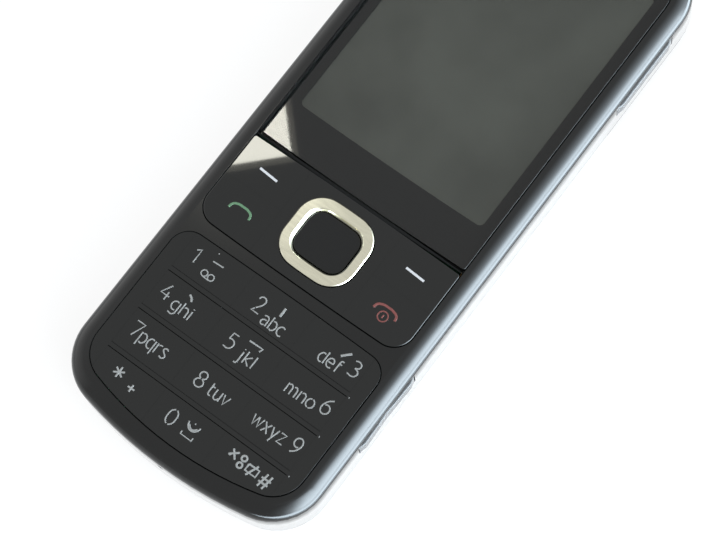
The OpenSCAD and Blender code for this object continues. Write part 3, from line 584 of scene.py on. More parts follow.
def dust_group():
    """Dust: a few pale specks of uneven size, as a mask, and the colour with them on it."""
    group = bpy.data.node_groups.get("Dust specks")
    if group:
        return group
    group, given, result = new_group(
        "Dust specks",
        [("Vector", "Vector"), ("Scale", "Float", 500.0), ("Share", "Float", 0.06), ("Size", "Float", 0.06),
         ("Colour", "Color", (0.1, 0.1, 0.1, 1.0)), ("Dust colour", "Color", (0.3, 0.3, 0.29, 1.0))],
        [("Colour", "Color"), ("Mask", "Float")],
    )
    cells = add_node(group, "TexVoronoi", {"Vector": given["Vector"], "Scale": given["Scale"],
                                           "Randomness": 1.0}).outputs
    near = reckon(group, "LESS_THAN", cells["Distance"], given["Size"])
    parts = add_node(group, "SeparateColor", {"Color": cells["Color"]}).outputs
    mask = reckon(group, "MULTIPLY", near, reckon(group, "LESS_THAN", parts["Red"], given["Share"]))
    painted = add_node(group, "Mix", {"Factor": mask, 6: given["Colour"], 7: given["Dust colour"]},
                       data_type="RGBA")
    feed(group, result["Colour"], painted.outputs[2])
    feed(group, result["Mask"], mask)
    return group


def grained(tree, place, grain, base, spread, rough, rough_spread):
    """Outputs of the grain group, placed in a material."""
    values = {"Vector": place, "Scale": grain, "Colour": (*base, 1.0), "Colour spread": spread,
              "Roughness": rough, "Roughness spread": rough_spread}
    return add_node(tree, "Group", values, node_tree=grain_group()).outputs


def finish(name, base, rough, metallic=0.0, grain=4000.0, spread=0.12, rough_spread=0.08, bump=0.02,
           stretch=(1.0, 1.0, 1.0), dust=0.0, specular=0.5):
    """A procedural finish: grain in colour, roughness and height, with dust where it is asked for."""
    material = bpy.data.materials.get(name)
    if material:
        return material
    material = bpy.data.materials.new(name)
    tree, surface = blank_tree(material, "Material")
    place = add_node(tree, "TexCoord").outputs["Object"]
    mapped = add_node(tree, "Mapping", {"Vector": place, "Scale": stretch}).outputs["Vector"]
    fine = grained(tree, mapped, grain, base, spread, rough, rough_spread)
    painted = fine["Colour"]
    if dust:
        specks = {"Vector": place, "Share": dust, "Colour": painted}
        painted = add_node(tree, "Group", specks, node_tree=dust_group()).outputs["Colour"]
    relief = add_node(tree, "Bump", {"Strength": bump, "Distance": GRAIN_HEIGHT, "Height": fine["Height"]})
    shader = add_node(tree, "BsdfPrincipled", {
        "Base Color": painted, "Roughness": fine["Roughness"], "Normal": relief.outputs["Normal"],
        "Metallic": metallic, "Specular IOR Level": specular})
    feed(tree, surface, shader.outputs["BSDF"])
    return material


def lens_glass():
    """Thin clear glass: the gloss of the print behind it shows square on, and the glass adds gloss towards
    grazing angles."""
    material = bpy.data.materials.new("Lens glass")
    tree, surface = blank_tree(material, "Material")
    place = add_node(tree, "TexCoord").outputs["Object"]
    fine = grained(tree, place, grain=900.0, base=colours().lens_tint, spread=0.05, rough=0.01,
                   rough_spread=0.005)
    specks = add_node(tree, "Group", {"Vector": place, "Share": GLASS_DUST}, node_tree=dust_group())
    fresnel = add_node(tree, "Fresnel", {"IOR": GLASS_IOR}).outputs["Fac"]
    front = reckon(tree, "SUBTRACT", 1.0, add_node(tree, "NewGeometry").outputs["Backfacing"])
    gloss = reckon(tree, "MULTIPLY", reckon(tree, "SUBTRACT", fresnel, GLASS_ONSET, clamp=True), front)
    film = reckon(tree, "MULTIPLY_ADD", specks.outputs["Mask"], DUST_FILM, gloss)
    shader = add_node(tree, "BsdfPrincipled", {
        "Base Color": fine["Colour"], "Roughness": fine["Roughness"], "Metallic": 1.0, "Alpha": film})
    feed(tree, surface, shader.outputs["BSDF"])
    return material


def painted_gap_shade():
    """Painted shade for the walls inside gaps and the bar in the split: the frame's colour with a weak, dull
    gloss, so they stay dark.
    """
    return finish("Painted gap shade", colours().frame_metal, 0.5, grain=9000.0, specular=0.14)


def panel_gloss():
    """Dark gloss of the key panels."""
    return finish("Panel gloss", colours().panel_black, 0.018, grain=3000.0, spread=0.08, rough_spread=0.008,
                  bump=0.0, dust=0.02)


def legend_print(name, base):
    """Matt print of the legends in one colour."""
    return finish(name, base, 0.5, grain=9000.0, spread=0.18, bump=0.0)


class PHONE_OT_front_frame(Operator):
    """Front frame: the flank rolls over into the face, with two openings and the sunk bar in the split"""

    bl_idname = "phone.front_frame"
    bl_label = "Front frame"

    def execute(self, context):
        s = sizes()
        body, lens, nav, number = body_outline(), lens_outline(), nav_outline(), number_outline()
        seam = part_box("chassis")[1].z
        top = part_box("front_frame")[1].z
        rim, gap = s.frame_rim, s.panel_gap
        profile = [(rim, seam), (0, seam + rim)]
        profile += rolled(s.front_roll, seam, top - s.face_crown, ROLL_STEPS)[1:]
        profile.append((body.half - lens.half - gap - 2 * rim, top))
        bm = bmesh.new()
        outer = loft(bm, body, profile)
        outside = set(bm.faces)
        upper = lens._replace(low=nav.low, low_corner=nav.low_corner)
        opening = [(-gap - rim, top), (-gap, top - rim), (-gap, seam)]
        holes = [loft(bm, outline, opening) for outline in (upper, number)]
        # Painted shade: the openings' walls and rims, and the faces that close the bar in the split, take the
        # dark dull second material
        for face in bm.faces:
            face.material_index = 0 if face in outside else 1
        fill_between(bm, outer[-1], *[hole[0] for hole in holes])
        fill_between(bm, outer[0], *[hole[-1] for hole in holes])
        bar = Outline(lens.half, nav.high + s.split_gap, lens.low - s.split_gap, LEAST_CORNER, LEAST_CORNER,
                      FLAT_BOW, FLAT_BOW)
        for loop in loft(bm, bar, [(0, seam), (0, top - s.split_recess)]):
            close(bm, loop, material=1)
        under_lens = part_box("display_mask")[0].z
        ledge = [loft(bm, lens, [(inset, seam), (inset, under_lens)]) for inset in (-gap, s.lens_ledge)]
        for wide, narrow in zip(*ledge):
            fill_between(bm, wide, narrow)
        metal = finish("Satin frame", colours().frame_metal, 0.12, grain=9000.0, spread=0.10,
                       rough_spread=0.03, dust=0.02, specular=0.45)
        shell = add_piece("front_frame_shell", bm, metal, "phone_body", ["front_frame"],
                          level_top=False)
        shell.data.materials.append(painted_gap_shade())
        return {"FINISHED"}


class PHONE_OT_display_lens(Operator):
    """Display lens with its earpiece slot, the dark print behind it and the display"""

    bl_idname = "phone.display_lens"
    bl_label = "Display lens"

    def execute(self, context):
        s = sizes()
        outline, slot = lens_outline(), slot_outline()
        low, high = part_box("display_lens")
        base = low.z + s.glass_lift
        bm = bmesh.new()
        loops = loft(bm, outline, rim_profile(base, high.z, s.lens_rim))
        hole = loft(bm, slot, [(-s.hole_rim, high.z), (0, high.z - s.hole_rim), (0, base)])
        fill_between(bm, loops[-1], hole[0])
        fill_between(bm, loops[0], hole[-1])
        bm.normal_update()
        # Level faces are clear glass, the rounded rim keeps the panels' gloss, and the upright walls take the
        # painted shade of the gaps
        for face in bm.faces:
            lean = abs(face.normal.z)
            face.material_index = 1 if lean > SQUARE_ON else 2 if lean < 1 - SQUARE_ON else 0
        lens = add_piece("display_lens_glass", bm, panel_gloss(), "phone_body", ["display_lens"])
        lens.data.materials.append(lens_glass())
        lens.data.materials.append(painted_gap_shade())
        low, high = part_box("display_mask")
        bm = bmesh.new()
        edges = [loft(bm, shape, [(0, low.z), (0, high.z)]) for shape in (outline, slot, window_outline())]
        for level in zip(*edges):
            fill_between(bm, *level)
        ink = finish("Lens print", colours().lens_black, 0.018, grain=3000.0, spread=0.08, rough_spread=0.008,
                     bump=0.0)
        add_piece("display_mask_print", bm, ink, "phone_body", ["display_mask"])
        dark_face = finish("Display face", colours().display_grey, 0.02, grain=55.0, spread=0.55,
                           rough_spread=0.01, bump=0.0)
        repaint("display_module", dark_face)
        return {"FINISHED"}


class PHONE_OT_navigation_panel(Operator):
    """Navigation panel: the fixed surround with the ring's opening, and four corner keys"""

    bl_idname = "phone.navigation_panel"
    bl_label = "Navigation panel"

    def execute(self, context):
        s = sizes()
        outline = nav_outline()
        low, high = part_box("nav_surround")
        profile = rim_profile(low.z, high.z, s.panel_rim)
        gloss = panel_gloss()
        grow = cap_growth()[1]
        bm = slab(outline, profile)
        trim_box(bm, low.x - grow, high.x + grow, None, None)
        flats = [face for face in bm.faces if abs(face.normal.z) > SQUARE_ON]
        bottom, top = sorted(flats, key=lambda face: face.calc_center_median().z)
        borders = [list(bottom.edges), list(top.edges)]
        bmesh.ops.delete(bm, geom=flats, context="FACES_ONLY")
        gap, rim = s.ring_gap, s.hole_rim
        opening = loft(bm, ring_outlines()[0], [(-gap - rim, high.z), (-gap, high.z - rim), (-gap, low.z)])
        fill_between(bm, borders[1], opening[0])
        fill_between(bm, borders[0], opening[-1])
        add_piece("navigation_surround", bm, gloss, "phone_body", ["nav_surround"])
        for node in CORNER_KEYS:
            key_low, key_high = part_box(node)
            right = key_low.x + key_high.x > 0
            upper = key_low.y + key_high.y > outline.low + outline.high
            bm = slab(outline, profile)
            trim_box(bm, key_low.x - grow if right else None, None if right else key_high.x + grow,
                     key_low.y - grow if upper else None, None if upper else key_high.y + grow)
            add_piece(node + "_cap", bm, gloss, node, [node])
        return {"FINISHED"}


class PHONE_OT_navigation_ring(Operator):
    """Bright bevelled ring, and the dark centre key inside it"""

    bl_idname = "phone.navigation_ring"
    bl_label = "Navigation ring"

    def execute(self, context):
        s = sizes()
        outer, hole = ring_outlines()
        low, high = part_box("nav_ring")
        key_low, key_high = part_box("centre_key")
        bm = bmesh.new()
        outside = loft(bm, outer, [(0, low.z), (0, high.z - s.ring_rim), (s.ring_rim, high.z)])
        inside = loft(bm, hole, [(-s.lip_outside, high.z), (s.lip_inside, high.z - s.hole_rim),
                                 (s.ring_slope, key_high.z - s.slope_foot), (s.ring_slope, low.z)])
        fill_between(bm, outside[-1], inside[0])
        fill_between(bm, outside[0], inside[-1])
        metal = finish("Ring metal", colours().ring_metal, 0.1, metallic=1.0, grain=3000.0, spread=0.22,
                       rough_spread=0.04, bump=0.0, stretch=(0.12, 1.0, 1.0))
        add_piece("navigation_ring", bm, metal, "nav_ring", ["nav_ring"], sharp=20.0)
        face = key_high.z - s.centre_sink
        crown = [(s.centre_gap, key_low.z), (s.centre_gap, face - s.centre_rim),
                 (s.centre_gap + s.centre_rim, face)]
        gloss = finish("Centre key gloss", colours().centre_black, 0.05, grain=2500.0, spread=0.1,
                       rough_spread=0.02, bump=0.0, dust=0.02, specular=0.42)
        add_piece("centre_key_cap", slab(hole, crown), gloss, "centre_key", ["centre_key"])
        return {"FINISHED"}


class PHONE_OT_number_keys(Operator):
    """Number panel: twelve caps in a ladder of two margins and three bars"""

    bl_idname = "phone.number_keys"
    bl_label = "Number keys"

    def execute(self, context):
        s = sizes()
        outline = number_outline()
        low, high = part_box("keypad_ladder")
        profile = rim_profile(low.z, high.z, s.number_rim)
        gloss = panel_gloss()
        seam, grow = cap_growth()
        faint, dark = (s.faint_seam - seam) / 2, (s.dark_seam - seam) / 2
        for node in NUMBER_KEYS:
            key_low, key_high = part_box(node)
            cuts = (key_low.x - grow, key_high.x + grow,
                    None if node in NUMBER_KEYS[-COLUMNS:] else key_low.y + faint,
                    None if node in NUMBER_KEYS[:COLUMNS] else key_high.y - dark)
            bm = panel_piece(outline, profile, cuts, s.cap_rim)
            add_piece(node + "_cap", bm, gloss, node, [node])
        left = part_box(NUMBER_KEYS[0])[0].x - grow - s.hairline
        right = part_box(NUMBER_KEYS[-1])[1].x + grow + s.hairline
        parts = [(None, left, None, None), (right, None, None, None)]
        for above, below in zip(NUMBER_KEYS[::COLUMNS], NUMBER_KEYS[COLUMNS::COLUMNS]):
            parts.append((left, right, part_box(below)[1].y + seam + dark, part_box(above)[0].y - seam - faint))
        ladder = bmesh.new()
        for cuts in parts:
            part = mesh_of("ladder_part", panel_piece(outline, profile, cuts, s.cap_rim))
            ladder.from_mesh(part)
            bpy.data.meshes.remove(part)
        add_piece("keypad_ladder_bars", ladder, gloss, "phone_body", ["keypad_ladder"])
        return {"FINISHED"}


class PHONE_OT_side_keys(Operator):
    """Volume rocker and camera key in the right flank, with rounded edges"""

    bl_idname = "phone.side_keys"
    bl_label = "Side keys"

    def execute(self, context):
        s = sizes()
        metal = finish("Side key lacquer", colours().side_grey, 0.16, grain=6000.0, spread=0.06,
                       rough_spread=0.04, stretch=(1.0, 0.1, 1.0))
        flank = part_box("chassis")[1].x
        for node in ("volume_rocker", "camera_key"):
            low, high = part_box(node)
            middle = (low.y + high.y) / 2
            start = Vector((flank - s.side_root, low.y + s.side_lip, high.z - s.side_height))
            end = Vector((high.x, high.y - s.side_lip, high.z))
            bm = bmesh.new()
            bmesh.ops.create_cube(bm, size=1.0)
            bmesh.ops.scale(bm, vec=end - start, verts=bm.verts)
            bmesh.ops.translate(bm, vec=(start + end) / 2, verts=bm.verts)
            cut(bm, (flank, 0, 0), (1, 0, 0))
            for side in (-1, 1):
                crown = [vert for vert in bm.verts if vert.co.x > flank + CUT_SNAP
                         and side * (vert.co.y - middle) > 0]
                bmesh.ops.translate(bm, vec=(0, -side * s.side_taper, 0), verts=crown)
            if node == "camera_key":
                for side in (-1, 1):
                    cut(bm, (0, middle + side * s.notch, 0), (0, 1, 0))
                notch = [vert for vert in bm.verts if vert.co.x > flank + CUT_SNAP
                         and abs(vert.co.y - middle) < 2 * s.notch]
                bmesh.ops.translate(bm, vec=(-s.notch, 0, 0), verts=notch)
            bm.normal_update()
            outer = [edge for edge in bm.edges if min(vert.co.x for vert in edge.verts) > flank - CUT_SNAP
                     and edge.calc_face_angle(0.0) > SOFT_EDGE]
            round_edges(bm, outer, s.side_rim, segments=3)
            add_piece(node + "_cap", bm, metal, node, [node])
        return {"FINISHED"}


def points_of(numbers):
    """Points given as x, y, x, y."""
    return list(zip(numbers[::2], numbers[1::2]))


def line(*numbers, weight=1.0):
    """A straight stroke from point to point."""
    return Stroke(points_of(numbers), weight, smooth=False, closed=False)


def stem(x, high, low=0):
    """An upright straight stroke."""
    return line(x, high, x, low)


def bend(*numbers, weight=1.0):
    """A stroke that runs smoothly through its points."""
    return Stroke(points_of(numbers), weight, smooth=True, closed=False)


def circle(x, y, radius, weight=1.0):
    """A small round stroke."""
    angles = [math.radians(degrees) for degrees in range(0, 360, 45)]
    points = [(x + radius * math.cos(angle), y + radius * math.sin(angle)) for angle in angles]
    return Stroke(points, weight, smooth=True, closed=True)


def mirrored(stroke, width):
    """A stroke turned left to right within a width."""
    return stroke._replace(points=[(width - x, y) for x, y in stroke.points])


def turned(stroke, width, height):
    """A stroke turned half round within a width and a height."""
    return stroke._replace(points=[(width - x, height - y) for x, y in stroke.points])


def weighted(weight, strokes):
    """Strokes made bolder or finer."""
    return [stroke._replace(weight=weight) for stroke in strokes]


# Numbers and letters as an advance and strokes on a fine grid
NUMBER_TALL = 2.45
LETTER_TALL = 1.5
LETTER_GAP = 0.28
NOUGHT_SIDE = bend(.62, 2.45, .2, 2.05, .05, 1.22, .2, .4, .62, 0)
SIX = bend(1.25, 2.43, .62, 2, .16, 1.25, .1, .6, .5, .05, 1.1, .08, 1.48, .65, 1.22, 1.28, .72, 1.42,
           .42, 1.28)
BOWL = bend(.34, 1.42, .68, 1.48, 1.06, 1.08, 1.06, .42, .68, .02, .34, .08)
BACK_BOWL = mirrored(BOWL, 1.14)
ARCH = [bend(.32, 1.34, .66, 1.48, .98, 1.15, 1.02, .7), stem(1.02, .8)]
ROUND_SIDE = bend(.5, 1.5, .1, 1.15, .1, .35, .5, 0)
GLYPHS = {
    "0": (1.5, [NOUGHT_SIDE, mirrored(NOUGHT_SIDE, 1.54)]),
    "1": (.9, [line(.05, 2, .7, 2.45, .7, 0)]),
    "2": (1.5, [bend(.08, 1.95, .35, 2.36, .8, 2.45, 1.27, 2.2, 1.32, 1.7, 1, 1.15, .5, .6),
                line(.42, .5, .05, .03, 1.5, .03)]),
    "3": (1.5, [bend(.1, 2.3, .65, 2.45, 1.22, 2.15, 1.18, 1.62, .62, 1.32),
                bend(.62, 1.32, 1.3, 1.05, 1.42, .5, .95, .05, .05, .1)]),
    "4": (1.6, [line(1, 2.45, .02, .75, 1.6, .75), stem(1.12, 1.35)]),
    "5": (1.5, [line(1.35, 2.43, .35, 2.43, .22, 1.42),
                bend(.22, 1.42, .8, 1.52, 1.38, 1.15, 1.38, .5, .9, .06, .05, .08)]),
    "6": (1.6, [SIX]),
    "7": (1.5, [line(.05, 2.43, 1.5, 2.43, .5, 0)]),
    "8": (1.5, [bend(.6, 1.34, .22, 1.6, .25, 2.2, .75, 2.45, 1.25, 2.2, 1.28, 1.6, .9, 1.34),
                bend(.6, 1.3, .1, .95, .1, .35, .75, 0, 1.4, .35, 1.4, .95, .9, 1.3)]),
    "9": (1.6, [turned(SIX, 1.6, NUMBER_TALL)]),
    "a": (1.15, [bend(.15, 1.38, .6, 1.5, .98, 1.22, 1.04, .75), stem(1.04, .85),
                 bend(.82, .86, .42, .84, .1, .42, .4, .02, .82, .14)]),
    "b": (1.15, [stem(.08, 2), BOWL]),
    "c": (1.05, [bend(1, 1.35, .6, 1.5, .1, 1.1, .1, .4, .6, 0, 1, .12)]),
    "d": (1.15, [stem(1.06, 2), BACK_BOWL]),
    "e": (1.1, [line(.22, .78, 1.04, .78),
                bend(1.04, .78, .95, 1.28, .56, 1.5, .1, 1.1, .1, .4, .56, 0, 1, .12)]),
    "f": (.85, [bend(.85, 1.98, .5, 1.95, .34, 1.6), stem(.34, 1.6), line(.42, 1.42, .8, 1.42)]),
    "g": (1.15, [stem(1.05, 1.5, -.25), bend(1.05, -.25, .75, -.58, .15, -.52),
                 bend(.8, 1.42, .46, 1.48, .08, 1.1, .08, .5, .46, .1, .8, .16)]),
    "h": (1.1, [stem(.08, 2), *ARCH]),
    "i": (.3, [stem(.1, 1.5), stem(.1, 1.98, 1.84)]),
    "j": (.5, [stem(.3, 1.5, -.25), bend(.3, -.25, .16, -.55, -.1, -.55), stem(.3, 1.98, 1.84)]),
    "k": (1, [stem(.08, 2), line(.9, 1.5, .2, .76, .95, 0)]),
    "l": (.3, [stem(.1, 2)]),
    "m": (1.75, [stem(.08, 1.5), bend(.26, 1.36, .52, 1.48, .82, 1.15, .86, .7), stem(.86, .8),
                 bend(1.04, 1.36, 1.3, 1.48, 1.6, 1.15, 1.64, .7), stem(1.64, .8)]),
    "n": (1.1, [stem(.08, 1.5), *ARCH]),
    "o": (1.15, [ROUND_SIDE, mirrored(ROUND_SIDE, 1.16)]),
    "p": (1.15, [stem(.08, 1.5, -.6), BOWL]),
    "q": (1.15, [stem(1.06, 1.5, -.6), BACK_BOWL]),
    "r": (.75, [stem(.08, 1.5), bend(.3, 1.3, .5, 1.44, .78, 1.46)]),
    "s": (.9, [bend(.82, 1.35, .45, 1.5, .12, 1.2, .35, .88, .65, .66, .85, .35, .48, 0, .06, .12)]),
    "t": (.85, [stem(.3, 1.95, .45), bend(.3, .45, .45, .05, .8, .05), line(.4, 1.45, .8, 1.45)]),
    "u": (1.1, [stem(.08, 1.5, .65), bend(.08, .65, .2, .12, .6, 0, .96, .42), stem(1.02, 1.5)]),
    "v": (1.05, [line(.02, 1.5, .5, .02, 1, 1.5)]),
    "w": (1.6, [line(.02, 1.5, .4, .02, .78, 1.45), line(.82, 1.45, 1.2, .02, 1.58, 1.5)]),
    "x": (1.05, [line(.02, 1.5, 1, 0), line(1, 1.5, .62, .9), line(.4, .6, .02, 0)]),
    "y": (1.05, [line(.02, 1.5, .5, .12), line(1, 1.5, .35, -.6)]),
    "z": (1.05, [line(.05, 1.46, .95, 1.46, .05, .03, 1, .03)]),
}

# Words of each key: text, left, right, baseline and height in millimetres, from the middle and from the split
WORDS = {
    "key_1": [("1", -15.1, -14.2, -22.0, 2.35)],
    "key_2": [("2", -2.9, -1.5, -22.7, 2.6), ("abc", -0.7, 3.3, -23.6, 1.5)],
    "key_3": [("def", 9.6, 13.4, -23.1, 1.5), ("3", 14.5, 16.0, -22.2, 2.45)],
    "key_4": [("4", -15.5, -13.9, -29.1, 2.5), ("ghi", -13.0, -9.4, -29.6, 1.5)],
    "key_5": [("5", -2.9, -1.5, -29.5, 2.5), ("jkl", 0.0, 2.8, -29.95, 1.5)],
    "key_6": [("mno", 8.6, 13.6, -29.7, 1.5), ("6", 14.5, 16.1, -29.1, 2.5)],
    "key_7": [("7", -15.5, -14.0, -36.2, 2.4), ("pqrs", -13.8, -8.7, -36.4, 1.6)],
    "key_8": [("8", -3.0, -1.5, -36.7, 2.5), ("tuv", -0.5, 3.2, -36.7, 1.5)],
    "key_9": [("wxyz", 7.5, 13.4, -36.4, 1.6), ("9", 14.5, 16.0, -36.4, 2.5)],
    "key_0": [("0", -3.0, -1.5, -43.7, 2.5)],
}

# Signs of each key, and painted glints on the number panel, in millimetres from the middle and from the split
SIGNS = {
    "key_1": [line(-12, -20.1, -10.1, -20), circle(-11.95, -22.3, .5, .85), circle(-10.7, -22.35, .5, .85),
              line(-11.95, -22.85, -10.7, -22.9, weight=.85)],
    "key_2": [line(1.35, -19.6, 1.35, -21.1, weight=1.7)],
    "key_3": [line(13.5, -19.4, 12.3, -20.6, weight=1.7)],
    "key_4": [bend(-11.6, -26.2, -11.1, -26.5, -10.75, -27, weight=1.5)],
    "key_5": [line(0, -26.6, 2.4, -26.55, 2.15, -27.15, weight=1.3)],
    "key_star": weighted(1.3, [
        line(-12.8, -40.8, -12.8, -42.6), line(-13.58, -41.25, -12.02, -42.15),
        line(-13.58, -42.15, -12.02, -41.25), line(-9.8, -42, -9.8, -43.2), line(-10.4, -42.6, -9.2, -42.6)]),
    "key_0": [line(.3, -43.15, .3, -43.65, 2.3, -43.65, 2.3, -43.15),
              bend(.25, -41.35, .55, -42.1, 1.3, -42.45, 2.05, -42.1, 2.35, -41.35),
              bend(.55, -41.75, 1.3, -42.25, 2.05, -41.75), line(1.2, -41.25, 1.4, -41.25)],
    "key_hash": weighted(1.4, [
        line(7.9, -41.9, 9.2, -40.8), line(8.1, -40.8, 9.2, -42.1), line(7.95, -41.7, 8.3, -41.9),
        circle(10.25, -41.1, .42), circle(10.25, -42.3, .42),
        line(11.3, -41.3, 13.2, -41.3, 13.2, -42.4, 11.3, -42.4, 11.3, -41.3),
        line(11.8, -42.9, 12.7, -40.8), line(14.15, -43.2, 14.55, -40.9), line(14.95, -43.2, 15.35, -40.9),
        line(13.95, -41.75, 15.6, -41.75), line(13.85, -42.45, 15.5, -42.45)]),
    # Painted glints: short pale marks at the right ends of the slits between the rows stand in for highlights
    # there
    "keypad_ladder": [line(17.05, y, 17.2, y) for y in (-24.95, -32.15, -39.4)],
    "left_soft_key": [line(-15.3, -4.35, -11.9, -4.6)],
    "right_soft_key": [line(12, -4.15, 15.4, -4.35)],
    "call_key": [bend(-15.45, -11.95, -15.2, -11.2, -14.5, -10.8, -13.5, -10.72, -12.55, -10.8, -11.85, -11.2,
                      -11.65, -11.95)],
    "end_key": [bend(11.65, -11.8, 11.9, -11.1, 12.6, -10.7, 13.6, -10.6, 14.6, -10.7, 15.35, -11.1,
                     15.55, -11.8),
                line(13.67, -11.9, 13.67, -12.5, weight=.6), circle(13.67, -12.2, .8, .55)],
}


def word_strokes(text, left, right, base, height):
    """Strokes of a word set between two sides on a base line."""
    tall = NUMBER_TALL if text[0].isdigit() else LETTER_TALL
    natural = sum(GLYPHS[letter][0] for letter in text) + LETTER_GAP * (len(text) - 1)
    wide = (right - left) / natural
    strokes, pen = [], left
    for letter in text:
        advance, parts = GLYPHS[letter]
        for part in parts:
            points = [(pen + x * wide, base + y * height / tall) for x, y in part.points]
            strokes.append(part._replace(points=points))
        pen += (advance + LETTER_GAP) * wide
    return strokes


def stroke_mesh(name, strokes, origin, level, width):
    """A flat mesh of strokes: a round curve is made a mesh, pressed flat and set on its level."""
    curve = bpy.data.curves.new(name, "CURVE")
    curve.dimensions = "3D"
    curve.bevel_depth = width / 2
    curve.bevel_resolution = 2
    curve.use_fill_caps = True
    curve.resolution_u = 5
    for stroke in strokes:
        spline = curve.splines.new("BEZIER" if stroke.smooth else "POLY")
        marks = spline.bezier_points if stroke.smooth else spline.points
        marks.add(len(stroke.points) - 1)
        spline.use_cyclic_u = stroke.closed
        for mark, (x, y) in zip(marks, stroke.points):
            place = (x * MM, y * MM + origin, 0)
            mark.radius = stroke.weight
            if stroke.smooth:
                mark.co = place
                mark.handle_left_type = mark.handle_right_type = "AUTO"
            else:
                mark.co = (*place, 1)
    maker = new_object(name + "_curve", curve)
    bpy.context.view_layer.update()
    mesh = bpy.data.meshes.new_from_object(maker.evaluated_get(bpy.context.evaluated_depsgraph_get()))
    bpy.data.objects.remove(maker)
    bpy.data.curves.remove(curve)
    mesh.name = name
    press = sizes().legend_lift / (width / 2)
    mesh.transform(Matrix.Translation((0, 0, level)) @ Matrix.Diagonal((1, 1, press, 1)))
    return mesh


class PHONE_OT_legends(Operator):
    """Printed legends: plain numbers, letters and signs on the caps, and painted glints at the slits' ends in
    the number panel
    """

    bl_idname = "phone.legends"
    bl_label = "Legends"

    def execute(self, context):
        c = colours()
        split = (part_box("display_lens")[0].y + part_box("left_soft_key")[1].y) / 2
        grey = legend_print("Legend grey", c.legend_grey)
        white = legend_print("Legend white", c.sign_white)
        green = legend_print("Legend green", c.call_green)
        red = legend_print("Legend red", c.end_red)
        prints = {"left_soft_key": white, "right_soft_key": white, "call_key": green, "end_key": red}
        for node in sorted(SIGNS.keys() | WORDS.keys()):
            strokes = list(SIGNS.get(node, []))
            for word in WORDS.get(node, []):
                strokes += word_strokes(*word)
            width = sizes().bold_stroke if node in prints else sizes().stroke
            mesh = stroke_mesh(node + "_legend", strokes, split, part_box(node)[1].z, width)
            mesh.materials.clear()
            mesh.materials.append(prints.get(node, grey))
            piece = new_object(node + "_legend", mesh)
            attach(piece, "phone_body" if node == "keypad_ladder" else node)
        return {"FINISHED"}


# Nodes shown by their solid or by a merged copy of it, under the finish that they have
NODE_FINISHES = {
    "Flank metal with painted shade": (["chassis"], dict(base=(0.88, 0.88, 0.88), rough=0.16, metallic=1.0, grain=7000.0)),
    "Rear cover metal": (["rear_cover"], dict(base=(0.62, 0.63, 0.64), rough=0.32, metallic=1.0, grain=5000.0,
                                              stretch=(1.0, 0.04, 1.0))),
    "Rear panel gloss": (["rear_top_panel"], dict(base=(0.02, 0.02, 0.022), rough=0.2, grain=3000.0)),
    "Grille metal": (["earpiece_grille"],
                     dict(base=(0.3, 0.31, 0.32), rough=0.35, metallic=1.0, grain=6000.0)),
    "Silicone": (["key_mat", "ring_gimbal"], dict(base=(0.12, 0.12, 0.12), rough=0.7, grain=3000.0)),
    "Bright sheet": (["dome_sheet", "shield_cans", "display_holder", "sim_holder", "card_holder",
                      "usb_socket", "microphone", "vibration_motor", "board_screws"],
                     dict(base=(0.6, 0.61, 0.62), rough=0.3, metallic=1.0, grain=6000.0,
                          stretch=(1.0, 0.1, 1.0))),
    "Flexible film": (["side_switch_strip", "display_flex"],
                      dict(base=(0.5, 0.25, 0.05), rough=0.4, grain=3000.0)),
    "Board lacquer": (["main_board"], dict(base=(0.02, 0.12, 0.05), rough=0.4, grain=2500.0)),
    "Black moulding": (["earpiece", "loudspeaker", "camera_module", "memory_card", "charger_jack"],
                       dict(base=(0.02, 0.02, 0.02), rough=0.5)),
    "Dense metal": (["vibration_weight"],
                    dict(base=(0.45, 0.42, 0.35), rough=0.35, metallic=1.0, grain=5000.0)),
    "Dark window": (["camera_window"], dict(base=(0.012, 0.012, 0.015), rough=0.06, grain=1500.0)),
    "Pale lamp": (["flash_lamp"], dict(base=(0.8, 0.78, 0.55), rough=0.3, grain=3000.0)),
    "Cell wrap": (["battery"], dict(base=(0.06, 0.065, 0.075), rough=0.45, grain=2500.0)),
    "Gilt contacts": (["battery_contacts", "antenna"],
                      dict(base=(0.75, 0.55, 0.2), rough=0.28, metallic=1.0, grain=5000.0)),
    "Card plastic": (["sim_card"], dict(base=(0.75, 0.75, 0.77), rough=0.35, grain=2500.0)),
}
# Nodes whose solid is copied with its doubles merged, so that its curved faces shade smoothly
SMOOTHED = ("chassis", "rear_cover", "rear_top_panel", "camera_window", "usb_socket", "charger_jack")
# Painted shade: shares of the flank's colour at places from the frame's seam down to the end of the darker band
PAINTED_SEAM_SHADE = ((0.0, 0.16), (0.15, 0.2), (0.3, 0.27), (0.46, 0.41), (0.6, 0.55), (0.77, 0.7), (1.0, 0.92))


def paint_shade_below(material, level, stops, depth):
    """Paints shade into a finish below a level: darkens its colour by shares at places within a depth."""
    tree = material.node_tree
    shader = next(node for node in tree.nodes if node.type == "BSDF_PRINCIPLED")
    painted = shader.inputs["Base Color"].links[0].from_socket
    place = add_node(tree, "TexCoord").outputs["Object"]
    height = add_node(tree, "SeparateXYZ", {0: place}).outputs["Z"]
    share = fall_off(tree, spread_out(tree, height, (level, level - depth)), stops)
    feed(tree, shader.inputs["Base Color"], vector_reckon(tree, "MULTIPLY", {0: painted, 1: share}))


